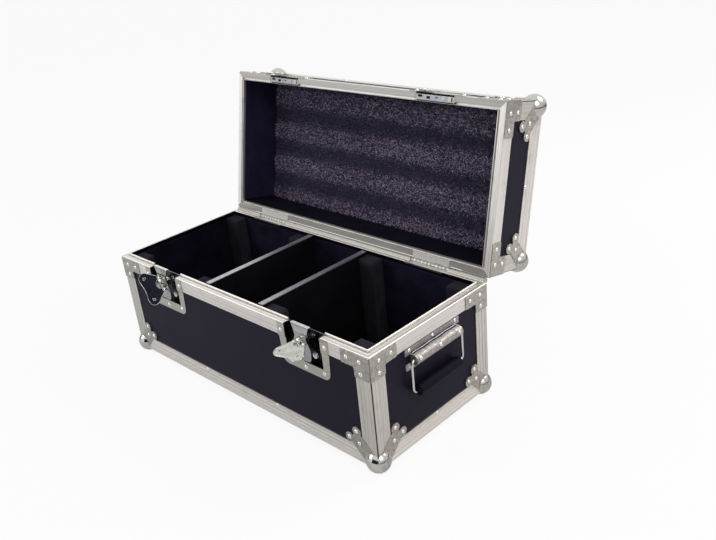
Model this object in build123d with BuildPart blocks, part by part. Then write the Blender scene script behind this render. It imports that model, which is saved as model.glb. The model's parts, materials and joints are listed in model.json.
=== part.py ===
from build123d import *
import os
from math import asin, degrees, sqrt

# Flight case: a black plywood box with aluminium edges, ball corners, a lid on two rear hinges,
# two recessed butterfly latches in front and a sprung bail handle at each end.
# It stands with its lid open against the hinge stops, which is its rest pose.
# Millimetres. X runs along the width to the right, Y to the back, Z up. The origin is on the floor
# under the middle of the case.

# Driving sizes: the box, measured over its aluminium edges
case_width = 650.0
case_depth = 280.0
base_height = 199.0
lid_height = 107.0
lid_open_angle = 102.0
rim_gap = 0.5

# Boards, linings and the fit between pieces
panel_thickness = 7.0
lining_thickness = 5.5
fit = 0.3
soft_gap = 0.5

# Aluminium edge angles
angle_leg = 30.0
angle_wall = 1.5
angle_edge_radius = 1.5
groove_depth = 0.4
groove_width = 1.4
groove_places = (7.5, 15.0, 22.5)

# Aluminium rim: the base carries a raised tongue, the lid the groove that takes it
rim_leg = 24.0
rim_wall = 1.5
rim_web = 3.5
rim_inner_leg = 14.0
rim_groove_width = 1.8
rim_groove_depth = 1.8
tongue_inset = 0.5
tongue_thickness = 2.5
tongue_height = 4.0
tongue_edge = 0.7
rim_edge = 0.7
lid_lip_thickness = 1.2
lid_web = 6.0

# Pressed steel corners
corner_sheet = 1.2
ball_radius = 20.0
ball_inset = 10.5
foot_flat = 0.3
ball_leg_width = 27.0
ball_leg_reach = 68.0
ball_lobe_radius = 9.0
ball_lobe_spread = 11.0
brace_reach = 57.0
brace_drop = 42.0
brace_depth = 25.0
brace_leg = 31.0
brace_top_gap = 2.0
brace_round = 3.0
brace_slit = 1.3

# Latches, each placed from its own end of the case
latch_from_end = 139.0
latch_sheet = 1.2
latch_width = 112.0
latch_taper = 3.0
latch_drop = 73.0
latch_round = 14.0
flange_gap = 0.5
pocket_width = 80.0
pocket_drop = 56.0
pocket_depth = 11.0
boss_radius = 7.0
boss_height = 3.0
boss_taper = 35.0
boss_side = 15.0
boss_drop = 44.0
eyelet_radius = 3.6
eyelet_hole_radius = 2.2
eyelet_height = 1.8
eyelet_taper = 15.0
eyelet_side = 16.0
eyelet_drop = 9.0
keeper_height = 34.0
keeper_pocket_height = 24.0
keeper_round = 9.0
keeper_ledge_thickness = 1.8
keeper_ledge_inset = 3.0
spindle_drop = 19.0
spindle_radius = 4.0
spindle_running_gap = 0.05
spindle_tail_radius = 7.0
spindle_tail_thickness = 1.2
cam_radius = 8.0
cam_throw = 3.6
cam_gap = 0.8
head_radius = 8.5
head_height = 6.4
head_edge = 1.6
head_recess_width = 1.6
head_recess_depth = 1.4
hook_sheet = 1.6
hook_out = 2.4
hook_top = 10.0
hook_top_width = 39.0
hook_neck_width = 23.0
hook_neck_rise = 9.0
hook_neck_round = 10.0
hook_bell_width = 42.0
hook_bell_shoulder = 10.0
hook_bell_drop = 31.0
hook_bell_taper = 2.0
hook_bell_round = 8.0
hook_joggle = 1.0
hook_joggle_rise = 15.0
hook_lip_length = 4.8
hook_slot_gap = 0.5
hook_travel_down = 5.5
hook_travel_in = 3.6
wing_sheet = 1.6
wing_pivot_out = 7.0
wing_pin_radius = 1.5
wing_lobe_radius = 10.2
wing_lobe_spacing = 41.5
wing_lobe_reach = 24.5
wing_waist = 2.0
wing_waist_radius = 60.0
wing_hole_length = 5.6
wing_hole_width = 3.6
wing_hole_angle = 60.0
wing_ear_radius = 2.5
wing_ear_width = 5.0
wing_notch_gap = 0.8
left_wing_turn = 60.0
left_wing_droop = 45.0
right_wing_turn = -6.5
right_wing_droop = 16.0

# Hinges, each placed from its own end of the case
hinge_from_end = 120.5
hinge_width = 80.0
hinge_sheet = 1.5
hinge_drop = 38.0
hinge_offset = 6.0
knuckle_radius = 4.0
knuckle_count = 5
knuckle_gap = 0.4
hinge_pin_radius = 2.0
hinge_running_gap = 0.06
hinge_web = 2.2
hinge_ledge = 1.0
stop_lug_length = 8.0
stop_lug_drop = 5.5

# End handles
handle_width = 130.0
handle_plate_height = 37.5
handle_plate_round = 3.0
handle_drop = 44.0
handle_sheet = 1.5
tunnel_length = 110.0
tunnel_half_height = 7.0
tunnel_inner_rise = 16.5
bail_wire_radius = 2.25
bail_axis_out = 9.5
bail_width = 121.0
bail_drop = 55.0
bail_bend = 8.0
bail_end_gap = 30.0
grip_radius = 9.5
grip_length = 103.0
grip_edge = 2.0
grip_wire_gap = 0.05
bearing_thickness = 3.0
bearing_inset = 2.0
bearing_gap = 0.1

# Dividers and foam
divider_spacing = 141.0
divider_thickness = 9.0
divider_cap_width = 11.0
divider_cap_thickness = 1.5
divider_cap_round = 1.0
divider_rise = 3.0
divider_end_rebate = 2.5
block_width = 38.0
block_depth = 27.0
block_top_drop = 3.0
lid_foam_thickness = 10.5
lid_foam_wave = 2.5
lid_foam_waves = 5

# Worked out from the sizes above
half_width = case_width / 2
half_depth = case_depth / 2
panel_back = angle_wall + panel_thickness
lining_face = panel_back + lining_thickness
underside = ball_radius - ball_inset - foot_flat
rim = underside + base_height
lid_rim = rim + rim_gap
lid_top = lid_rim + lid_height
base_floor = underside + panel_back
lid_ceiling = lid_top - panel_back
tongue_back = panel_back + rim_wall + tongue_inset + tongue_thickness
tongue_front = tongue_back - tongue_thickness
groove_front = tongue_front - rim_groove_width
lid_groove_front = tongue_front - fit
lid_groove_back = tongue_back + fit
lid_groove_depth = tongue_height + soft_gap
lid_lip_back = lid_groove_back + lid_lip_thickness
latch_centres = (latch_from_end - half_width, half_width - latch_from_end)
hinge_centres = (hinge_from_end - half_width, half_width - hinge_from_end)
pocket_outer = pocket_width + 2 * latch_sheet
pocket_cut = pocket_outer + 2 * fit
spindle_height = rim - spindle_drop
hinge_y = half_depth + hinge_offset
hinge_z = rim + rim_gap / 2
hinge_axis = Location((0, hinge_y, hinge_z))
lid_pose = hinge_axis * Location((0, 0, 0), (-lid_open_angle, 0, 0)) * hinge_axis.inverse()

# The planes of the walls: x along the wall, y up, and the sketch is extruded outwards
front_face = Plane.XZ.offset(half_depth)
front_board = front_face.offset(-panel_back)
rear_board = Plane.XZ.offset(-half_depth + angle_wall)
right_board = Plane.YZ.offset(half_width - panel_back)

os.makedirs("parts", exist_ok=True)


def save(piece, name):
    """Label a piece and write it."""
    piece.label = name
    export_step(piece, f"parts/{name}.step")


def save_open(piece, name):
    """Write a lid piece, modelled shut, where the open lid holds it."""
    save(piece.moved(lid_pose), name)


# Boards

def board_across(plane, low, high, cut_low=0.0, cut_high=0.0):
    """A front or rear board, full width, with a pocket cut for each latch."""
    with BuildPart() as board:
        with BuildSketch(plane):
            with Locations((0, (low + high) / 2)):
                Rectangle(case_width - 2 * angle_wall, high - low)
            if cut_high > cut_low:
                with Locations([(x, (cut_low + cut_high) / 2) for x in latch_centres]):
                    Rectangle(pocket_cut, cut_high - cut_low, mode=Mode.SUBTRACT)
        extrude(amount=panel_thickness)
    return board.part


def board_end(low, high):
    """The right end board, which stands between the front and rear boards."""
    with BuildPart() as board:
        with BuildSketch(right_board):
            with Locations((0, (low + high) / 2)):
                Rectangle(case_depth - 2 * panel_back, high - low)
        extrude(amount=panel_thickness)
    return board.part


def flat_board(height):
    """The bottom or the top board."""
    with BuildPart() as board:
        with BuildSketch(Plane.XY.offset(height)):
            Rectangle(case_width - 2 * angle_wall, case_depth - 2 * angle_wall)
        extrude(amount=panel_thickness)
    return board.part


base_board_top = rim - rim_web
lid_board_low = lid_rim + rim_web
dish_cut_floor = rim - pocket_drop - latch_sheet - fit
keeper_cut_top = lid_rim + keeper_pocket_height + latch_sheet + fit

base_front_panel = board_across(front_board, base_floor, base_board_top, dish_cut_floor, base_board_top)
base_rear_panel = board_across(rear_board, base_floor, base_board_top)
base_right_panel = board_end(base_floor, base_board_top)
base_left_panel = mirror(base_right_panel, about=Plane.YZ)
base_bottom_panel = flat_board(underside + angle_wall)
lid_front_panel = board_across(front_board, lid_board_low, lid_ceiling, lid_board_low, keeper_cut_top)
lid_rear_panel = board_across(rear_board, lid_board_low, lid_ceiling)
lid_right_panel = board_end(lid_board_low, lid_ceiling)
lid_left_panel = mirror(lid_right_panel, about=Plane.YZ)
lid_top_panel = flat_board(lid_ceiling)

save(base_front_panel, "base_front_panel")
save(base_rear_panel, "base_rear_panel")
save(base_right_panel, "base_right_panel")
save(base_left_panel, "base_left_panel")
save(base_bottom_panel, "base_bottom_panel")
save_open(lid_front_panel, "lid_front_panel")
save_open(lid_rear_panel, "lid_rear_panel")
save_open(lid_right_panel, "lid_right_panel")
save_open(lid_left_panel, "lid_left_panel")
save_open(lid_top_panel, "lid_top_panel")


# Aluminium edge angles, mitred where three of them meet under a ball corner

def edge_angle(plane, length, far_mitre):
    """A grooved angle whose outer corner runs along the plane's normal from its origin."""
    along, leg_1, leg_2 = plane.z_dir, plane.x_dir, plane.y_dir
    far_end = plane.origin + along * length
    with BuildPart() as angle:
        with BuildSketch(plane):
            with BuildLine():
                Polyline(
                    (0, 0), (angle_leg, 0), (angle_leg, angle_wall), (angle_wall, angle_wall),
                    (angle_wall, angle_leg), (0, angle_leg), close=True,
                )
            make_face()
            fillet(sketch_corner(0, 0), angle_edge_radius)
            with Locations([(place, 0) for place in groove_places]):
                Rectangle(groove_width, 2 * groove_depth, mode=Mode.SUBTRACT)
            with Locations([(0, place) for place in groove_places]):
                Rectangle(2 * groove_depth, groove_width, mode=Mode.SUBTRACT)
        extrude(amount=length)
        split(bisect_by=Plane(plane.origin, z_dir=along - leg_1), keep=Keep.TOP)
        split(bisect_by=Plane(plane.origin, z_dir=along - leg_2), keep=Keep.TOP)
        if far_mitre:
            split(bisect_by=Plane(far_end, z_dir=-along - leg_1), keep=Keep.TOP)
            split(bisect_by=Plane(far_end, z_dir=-along - leg_2), keep=Keep.TOP)
    return angle.part


def sketch_corner(x, y):
    """The vertex of the sketch in hand that lies nearest a point of its own plane."""
    context = BuildSketch._get_context()
    return context.vertices().sort_by_distance((x, y, 0))[0]


def four_corners(piece):
    """A piece at the left front corner, repeated at the other three."""
    with BuildPart() as group:
        add(piece)
        mirror(about=Plane.YZ)
        mirror(about=Plane.XZ)
    return group.part


def pair(piece, about):
    """A piece and its mirror image, as two separate solids."""
    with BuildPart() as group:
        add(piece)
        mirror(about=about)
    return group.part


left_front = Vector(-half_width, -half_depth, underside)
base_upright = Plane(left_front, x_dir=(1, 0, 0), z_dir=(0, 0, 1))
base_along = Plane(left_front, x_dir=(0, 1, 0), z_dir=(1, 0, 0))
base_across = Plane(left_front, x_dir=(0, 0, 1), z_dir=(0, 1, 0))

base_corner_angles = four_corners(edge_angle(base_upright, base_height - rim_leg, False))
base_long_angles = pair(edge_angle(base_along, case_width, True), Plane.XZ)
base_end_angles = pair(edge_angle(base_across, case_depth, True), Plane.YZ)
save(base_corner_angles, "base_corner_angles")
save(base_long_angles, "base_long_angles")
save(base_end_angles, "base_end_angles")

# The lid's angles are the same ones turned over
turned_over = Plane.XY.offset((underside + lid_top) / 2)
lid_corner_angle = mirror(edge_angle(base_upright, lid_height - rim_leg, False), about=turned_over)
lid_corner_angles = four_corners(lid_corner_angle)
lid_long_angles = mirror(base_long_angles, about=turned_over)
lid_end_angles = mirror(base_end_angles, about=turned_over)
save_open(lid_corner_angles, "lid_corner_angles")
save_open(lid_long_angles, "lid_long_angles")
save_open(lid_end_angles, "lid_end_angles")


# Rim extrusions, mitred at the corners: points run inwards from the outer face and up from the rim

base_rim_points = [
    (0, 0), (0, -rim_leg), (rim_wall, -rim_leg), (rim_wall, -rim_web), (panel_back, -rim_web),
    (panel_back, -rim_inner_leg), (panel_back + rim_wall, -rim_inner_leg),
    (panel_back + rim_wall, -rim_web), (tongue_back, -rim_web), (tongue_back, tongue_height),
    (tongue_front, tongue_height), (tongue_front, -rim_groove_depth),
    (groove_front, -rim_groove_depth), (groove_front, 0),
]
lid_rim_points = [
    (0, 0), (lid_groove_front, 0), (lid_groove_front, lid_groove_depth),
    (lid_groove_back, lid_groove_depth), (lid_groove_back, 0), (lid_lip_back, 0),
    (lid_lip_back, lid_web), (panel_back + rim_wall, lid_web),
    (panel_back + rim_wall, rim_inner_leg), (panel_back, rim_inner_leg), (panel_back, rim_web),
    (rim_wall, rim_web), (rim_wall, rim_leg), (0, rim_leg),
]


def rim_bar(points, cut_edges, level, along_width):
    """One mitred length of rim at the front, or at the left end."""
    left, front = -half_width, -half_depth
    if along_width:
        plane = Plane((left, front, level), x_dir=(0, 1, 0), z_dir=(1, 0, 0))
        length = case_width
        mitres = [((left, front, 0), (1, -1, 0)), ((-left, front, 0), (-1, -1, 0))]
    else:
        plane = Plane((left, -front, level), x_dir=(1, 0, 0), z_dir=(0, -1, 0))
        length = case_depth
        mitres = [((left, front, 0), (-1, 1, 0)), ((left, -front, 0), (-1, -1, 0))]
    with BuildPart() as bar:
        with BuildSketch(plane):
            with BuildLine():
                Polyline(*points, close=True)
            make_face()
            for x, y, cut in cut_edges:
                chamfer(sketch_corner(x, y), cut)
        extrude(amount=length)
        for origin, normal in mitres:
            split(bisect_by=Plane(origin, z_dir=normal), keep=Keep.TOP)
    return bar.part


base_cuts = [
    (0, 0, rim_edge), (tongue_back, tongue_height, tongue_edge), (tongue_front, tongue_height, tongue_edge),
]
lid_cuts = [(0, 0, rim_edge)]
base_front_bar = rim_bar(base_rim_points, base_cuts, rim, True)
base_end_bar = rim_bar(base_rim_points, base_cuts, rim, False)
lid_front_bar = rim_bar(lid_rim_points, lid_cuts, lid_rim, True)
lid_end_bar = rim_bar(lid_rim_points, lid_cuts, lid_rim, False)

rim_band = rim_leg + tongue_height
hinge_cut = hinge_width + 2 * fit

with BuildPart() as base_long_rims:
    add(base_front_bar)
    mirror(about=Plane.XZ)
    with Locations([(x, -half_depth, rim) for x in latch_centres]):
        Box(pocket_cut, 2 * lining_face, 4 * rim_band, mode=Mode.SUBTRACT)
    with Locations([(x, half_depth, rim - hinge_sheet) for x in hinge_centres]):
        Box(hinge_cut, 2 * lining_face, rim_band, align=(Align.CENTER, Align.CENTER, Align.MIN),
            mode=Mode.SUBTRACT)
with BuildPart() as lid_long_rims:
    add(lid_front_bar)
    mirror(about=Plane.XZ)
    with Locations([(x, -half_depth, lid_rim) for x in latch_centres]):
        Box(pocket_cut, 2 * lining_face, 4 * rim_band, mode=Mode.SUBTRACT)
    with Locations([(x, half_depth, lid_rim + hinge_sheet) for x in hinge_centres]):
        Box(hinge_cut, 2 * lid_groove_front, rim_band, align=(Align.CENTER, Align.CENTER, Align.MAX),
            mode=Mode.SUBTRACT)
save(base_long_rims.part, "base_long_rims")
save(pair(base_end_bar, Plane.YZ), "base_end_rims")
save_open(lid_long_rims.part, "lid_long_rims")
save_open(pair(lid_end_bar, Plane.YZ), "lid_end_rims")


# Ball corners: a pressed ball over the corner and three diagonal legs with two lobes each

lobe_near = (ball_leg_reach - ball_lobe_spread) / sqrt(2)
lobe_far = (ball_leg_reach + ball_lobe_spread) / sqrt(2)
leg_start = ball_leg_width / 2
leg_middle = (leg_start + ball_leg_reach) / 2 / sqrt(2)


def ball_leg_outline():
    """The leg, drawn in the corner of the sketch plane along its diagonal."""
    with Locations((leg_middle, leg_middle)):
        Rectangle(ball_leg_reach - leg_start, ball_leg_width, rotation=45)
    with Locations((lobe_near, lobe_far), (lobe_far, lobe_near)):
        Circle(ball_lobe_radius)


octant = Align.MIN, Align.MIN, Align.MIN
corner_faces = [
    Plane((0, 0, 0), x_dir=(1, 0, 0), z_dir=(0, 0, 1)),
    Plane((0, 0, 0), x_dir=(0, 1, 0), z_dir=(1, 0, 0)),
    Plane((0, 0, 0), x_dir=(0, 0, 1), z_dir=(0, 1, 0)),
]

with BuildPart() as ball_corner:
    with Locations((ball_inset, ball_inset, ball_inset)):
        Sphere(ball_radius)
    Box(2 * ball_radius, 2 * ball_radius, 2 * ball_radius, align=octant, mode=Mode.SUBTRACT)
    for face in corner_faces:
        with BuildSketch(face):
            ball_leg_outline()
        extrude(amount=-corner_sheet)
        # Past the angles the leg is pressed down on to the board
        with BuildSketch(face):
            ball_leg_outline()
            with Locations((angle_leg + fit, angle_leg + fit)):
                Rectangle(ball_leg_reach, ball_leg_reach, align=(Align.MIN, Align.MIN),
                          mode=Mode.INTERSECT)
        extrude(amount=angle_wall)

low_corner = ball_corner.part.moved(Location(left_front))
with BuildPart() as base_ball_corners:
    add(four_corners(low_corner))
    split(bisect_by=Plane.XY, keep=Keep.TOP)
save(base_ball_corners.part, "base_ball_corners")
lid_ball_corners = four_corners(mirror(low_corner, about=turned_over))
save_open(lid_ball_corners, "lid_ball_corners")

# Rim braces: a plate wrapped round each upright corner under the rim
with BuildPart() as base_brace:
    for face, side in ((Plane.XZ, 1), (Plane.YZ, -1)):
        with BuildSketch(face):
            with BuildLine():
                Polyline(
                    (-corner_sheet, -brace_top_gap), (brace_reach, -brace_top_gap),
                    (brace_reach, -brace_depth), (brace_leg, -brace_depth),
                    (brace_leg, -brace_drop), (-corner_sheet, -brace_drop), close=True,
                )
            make_face()
            for x, y in ((brace_reach, -brace_top_gap), (brace_reach, -brace_depth),
                         (brace_leg, -brace_depth), (brace_leg, -brace_drop)):
                fillet(sketch_corner(x, y), brace_round)
        extrude(amount=side * corner_sheet)
    with Locations((-corner_sheet, -corner_sheet, -brace_drop / 2)):
        Box(2 * brace_slit, 2 * brace_slit, 2 * brace_drop, mode=Mode.SUBTRACT)
low_brace = base_brace.part.moved(Location((-half_width, -half_depth, rim)))
save(four_corners(low_brace), "base_rim_braces")
high_brace = mirror(low_brace, about=Plane.XY.offset((rim + lid_rim) / 2))
save_open(four_corners(high_brace), "lid_rim_braces")


# Linings: black foam on the inside of every wall, rebated round the rim's inner leg

def wall_lining(along_width, low, high, rim_side):
    """A lining on the front or the left wall, drawn as a section and extruded along the wall."""
    top = rim - rim_web if rim_side > 0 else lid_rim + lid_web
    leg_end = rim - rim_inner_leg if rim_side > 0 else lid_rim + rim_inner_leg
    far = low if rim_side > 0 else high
    left, front = -half_width, -half_depth
    if along_width:
        plane = Plane((left + panel_back, front, 0), x_dir=(0, 1, 0), z_dir=(1, 0, 0))
        length = case_width - 2 * panel_back
    else:
        plane = Plane((left, -front - lining_face, 0), x_dir=(1, 0, 0), z_dir=(0, -1, 0))
        length = case_depth - 2 * lining_face
    inner_leg = panel_back + rim_wall
    with BuildPart() as lining:
        with BuildSketch(plane):
            with BuildLine():
                Polyline(
                    (panel_back, far), (lining_face, far), (lining_face, top), (inner_leg, top),
                    (inner_leg, leg_end), (panel_back, leg_end), close=True,
                )
            make_face()
        extrude(amount=length)
        if along_width:
            # Each end is rebated like the top, round the end rim's inner leg
            with Locations([(side * (half_width - panel_back), front, leg_end) for side in (-1, 1)]):
                Box(2 * rim_wall, 2 * lining_face, 2 * rim_inner_leg,
                    align=(Align.CENTER, Align.CENTER, Align.MIN if rim_side > 0 else Align.MAX),
                    mode=Mode.SUBTRACT)
    return lining.part


dish_back = pocket_depth + latch_sheet
lining_skin = dish_back + fit
with BuildPart() as base_front_lining:
    add(wall_lining(True, base_floor, rim, 1))
    with Locations([(x, -half_depth, dish_cut_floor) for x in latch_centres]):
        Box(pocket_cut, 2 * lining_skin, base_height,
            align=(Align.CENTER, Align.CENTER, Align.MIN), mode=Mode.SUBTRACT)
    with Locations([(x, -half_depth + lining_face, spindle_height) for x in latch_centres]):
        Cylinder(spindle_tail_radius + soft_gap, 2 * lining_thickness, rotation=(90, 0, 0),
                 mode=Mode.SUBTRACT)
base_rear_lining = mirror(wall_lining(True, base_floor, rim, 1), about=Plane.XZ)
base_left_lining = wall_lining(False, base_floor, rim, 1)
save(base_front_lining.part, "base_front_lining")
save(base_rear_lining, "base_rear_lining")
save(pair(base_left_lining, Plane.YZ), "base_end_linings")

with BuildPart() as lid_front_lining:
    add(wall_lining(True, lid_rim, lid_ceiling, -1))
    with Locations([(x, -half_depth, keeper_cut_top) for x in latch_centres]):
        Box(pocket_cut, 2 * lining_skin, lid_height,
            align=(Align.CENTER, Align.CENTER, Align.MAX), mode=Mode.SUBTRACT)
lid_rear_lining = mirror(wall_lining(True, lid_rim, lid_ceiling, -1), about=Plane.XZ)
lid_left_lining = wall_lining(False, lid_rim, lid_ceiling, -1)
save_open(lid_front_lining.part, "lid_front_lining")
save_open(lid_rear_lining, "lid_rear_lining")
save_open(pair(lid_left_lining, Plane.YZ), "lid_end_linings")

# The pile-faced foam sheet in the lid's top, with its long soft waves across the width
foam_width = case_width - 2 * lining_face - 2 * soft_gap
foam_span = case_depth - 2 * lining_face - 2 * soft_gap
wave_length = foam_span / lid_foam_waves
foam_face = lid_ceiling - lid_foam_thickness
with BuildPart() as lid_top_foam:
    with BuildSketch(Plane.YZ.offset(-foam_width / 2)):
        with BuildLine():
            for wave in range(lid_foam_waves):
                start = -foam_span / 2 + wave * wave_length
                ThreePointArc(
                    (start, foam_face + lid_foam_wave / 2),
                    (start + wave_length / 4, foam_face),
                    (start + wave_length / 2, foam_face + lid_foam_wave / 2),
                )
                ThreePointArc(
                    (start + wave_length / 2, foam_face + lid_foam_wave / 2),
                    (start + wave_length * 3 / 4, foam_face + lid_foam_wave),
                    (start + wave_length, foam_face + lid_foam_wave / 2),
                )
            Polyline(
                (foam_span / 2, foam_face + lid_foam_wave / 2), (foam_span / 2, lid_ceiling),
                (-foam_span / 2, lid_ceiling), (-foam_span / 2, foam_face + lid_foam_wave / 2),
            )
        make_face()
    extrude(amount=foam_width)
save_open(lid_top_foam.part, "lid_top_foam")

# Dividers, their capping strips, the floor pads and the corner blocks
bay_depth = case_depth - 2 * lining_face
divider_centres = (-divider_spacing / 2, divider_spacing / 2)
cap_top = rim + divider_rise
board_top = cap_top - divider_cap_thickness
rebate_floor = rim - tongue_height
cap_length = bay_depth - 2 * divider_end_rebate - 2 * soft_gap


def divider_board(centre):
    """One divider, its top corners cut back to clear the lip of the shut lid."""
    with BuildPart() as divider:
        with BuildSketch(Plane.YZ.offset(centre - divider_thickness / 2)):
            with Locations((0, base_floor)):
                Rectangle(bay_depth, rebate_floor - base_floor, align=(Align.CENTER, Align.MIN))
            with Locations((0, rebate_floor)):
                Rectangle(cap_length, board_top - rebate_floor, align=(Align.CENTER, Align.MIN))
        extrude(amount=divider_thickness)
    return divider.part


save(divider_board(divider_centres[0]), "left_divider")
save(divider_board(divider_centres[1]), "right_divider")

with BuildPart() as divider_caps:
    with BuildSketch(Plane.XY.offset(board_top)):
        with Locations([(x, 0) for x in divider_centres]):
            RectangleRounded(divider_cap_width, cap_length, divider_cap_round)
    extrude(amount=divider_cap_thickness)
save(divider_caps.part, "divider_caps")

bay_outer = half_width - lining_face
bay_inner = divider_spacing / 2 + divider_thickness / 2
block_x = (bay_outer - block_width / 2, bay_inner + block_width / 2)
block_y = bay_depth / 2 - block_depth / 2
block_places = [(x * side, y) for side in (-1, 1) for x in block_x for y in (-block_y, block_y)]


def floor_pad(low_x, high_x):
    """A pad on the floor of a bay, cut round the corner blocks."""
    with BuildPart() as pad:
        with BuildSketch(Plane.XY.offset(base_floor)):
            with Locations(((low_x + high_x) / 2, 0)):
                Rectangle(high_x - low_x - 2 * soft_gap, bay_depth - 2 * soft_gap)
            with Locations(block_places):
                Rectangle(block_width + 2 * soft_gap, block_depth + 2 * soft_gap,
                          mode=Mode.SUBTRACT)
        extrude(amount=lining_thickness)
    return pad.part


save(floor_pad(-bay_outer, -bay_inner), "left_bay_pad")
save(floor_pad(-bay_inner + divider_thickness, bay_inner - divider_thickness), "middle_bay_pad")
save(floor_pad(bay_inner, bay_outer), "right_bay_pad")

with BuildPart() as bay_corner_blocks:
    with BuildSketch(Plane.XY.offset(base_floor)):
        with Locations(block_places):
            Rectangle(block_width, block_depth)
    extrude(amount=rim - block_top_drop - base_floor)
save(bay_corner_blocks.part, "bay_corner_blocks")


# Latches. Each is drawn at the origin of its own place: x along the case, y inwards from the
# outer face, z up from the rim
flange_side = (latch_width - pocket_width) / 2
flange_x = (pocket_width + flange_side) / 2
low_center = Align.CENTER, Align.MAX
high_center = Align.CENTER, Align.MIN

flange_step = -rim_leg - fit

# The dish: a flange joggled from the rim down on to the board, and an open-topped pocket
with BuildPart() as latch_dish:
    with BuildSketch(Plane.XZ):
        with Locations((0, -flange_gap)):
            Rectangle(latch_width, rim_leg + corner_sheet - flange_gap, align=low_center)
        Rectangle(pocket_width, 4 * rim_leg, mode=Mode.SUBTRACT)
    extrude(amount=latch_sheet)
    with BuildSketch(Plane.XZ.offset(-angle_wall)):
        with BuildLine():
            Polyline(
                (-latch_width / 2, flange_step), (latch_width / 2, flange_step),
                (latch_width / 2 - latch_taper, -latch_drop), (latch_taper - latch_width / 2, -latch_drop),
                close=True,
            )
        make_face()
        fillet(sketch_corner(-latch_width / 2, -latch_drop), latch_round)
        fillet(sketch_corner(latch_width / 2, -latch_drop), latch_round)
        Rectangle(pocket_width, 2 * pocket_drop, mode=Mode.SUBTRACT)
    extrude(amount=latch_sheet)
    with BuildSketch(Plane.XZ.offset(-angle_wall)):
        with Locations((-flange_x, flange_step), (flange_x, flange_step)):
            Rectangle(flange_side, latch_sheet, align=low_center)
    extrude(amount=angle_wall + latch_sheet)
    with BuildSketch(Plane.XZ.offset(-dish_back)):
        Rectangle(pocket_outer, pocket_drop + latch_sheet, align=low_center)
        with Locations((0, -spindle_drop)):
            Circle(spindle_radius + spindle_running_gap, mode=Mode.SUBTRACT)
    extrude(amount=latch_sheet)
    with BuildSketch(Plane.XZ.offset(-pocket_depth)):
        Rectangle(pocket_outer, pocket_drop + latch_sheet, align=low_center)
        Rectangle(pocket_width, pocket_drop, align=low_center, mode=Mode.SUBTRACT)
    extrude(amount=pocket_depth - angle_wall + latch_sheet)
    with BuildSketch(Plane.XZ.offset(-angle_wall)):
        with Locations((-pocket_outer / 2, -flange_gap), (pocket_outer / 2 - latch_sheet, -flange_gap)):
            Rectangle(latch_sheet, rim_leg, align=(Align.MIN, Align.MAX))
    extrude(amount=angle_wall + latch_sheet)
    # Two tapered bosses stiffen the pocket's back, with a raised eyelet above each
    with BuildSketch(Plane.XZ.offset(-pocket_depth)):
        with Locations((-boss_side, -boss_drop), (boss_side, -boss_drop)):
            Circle(boss_radius)
    extrude(amount=boss_height, taper=boss_taper)
    with BuildSketch(Plane.XZ.offset(-pocket_depth)):
        with Locations((-eyelet_side, -eyelet_drop), (eyelet_side, -eyelet_drop)):
            Circle(eyelet_radius)
    extrude(amount=eyelet_height, taper=eyelet_taper)
    with BuildSketch(Plane.XZ.offset(-dish_back)):
        with Locations((-eyelet_side, -eyelet_drop), (eyelet_side, -eyelet_drop)):
            Circle(eyelet_hole_radius)
    extrude(amount=latch_sheet + eyelet_height, mode=Mode.SUBTRACT)

# The keeper: the same dish turned over in the lid, with a ledge that the hook draws down
keeper_top = rim_gap + keeper_height
with BuildPart() as keeper_dish:
    with BuildSketch(Plane.XZ):
        with Locations((0, rim_gap + flange_gap)):
            Rectangle(latch_width, rim_leg + corner_sheet - flange_gap, align=high_center)
        Rectangle(pocket_width, 4 * rim_leg, mode=Mode.SUBTRACT)
    extrude(amount=latch_sheet)
    with BuildSketch(Plane.XZ.offset(-angle_wall)):
        with Locations((0, rim_gap + rim_leg + fit)):
            Rectangle(latch_width, keeper_height - rim_leg - fit, align=high_center)
        fillet(sketch_corner(-latch_width / 2, keeper_top), keeper_round)
        fillet(sketch_corner(latch_width / 2, keeper_top), keeper_round)
    extrude(amount=angle_wall + latch_sheet)
    with BuildSketch(Plane.XZ.offset(-dish_back)):
        with Locations((0, rim_gap)):
            Rectangle(pocket_outer, keeper_pocket_height + latch_sheet, align=high_center)
    extrude(amount=latch_sheet)
    with BuildSketch(Plane.XZ.offset(-pocket_depth)):
        with Locations((0, rim_gap)):
            Rectangle(pocket_outer, keeper_pocket_height + latch_sheet, align=high_center)
            Rectangle(pocket_width, keeper_pocket_height, align=high_center, mode=Mode.SUBTRACT)
    extrude(amount=pocket_depth)
    with BuildSketch(Plane.XZ.offset(-pocket_depth)):
        with Locations((0, rim_gap + fit)):
            Rectangle(pocket_width, keeper_ledge_thickness, align=high_center)
    extrude(amount=pocket_depth - keeper_ledge_inset)

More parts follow.
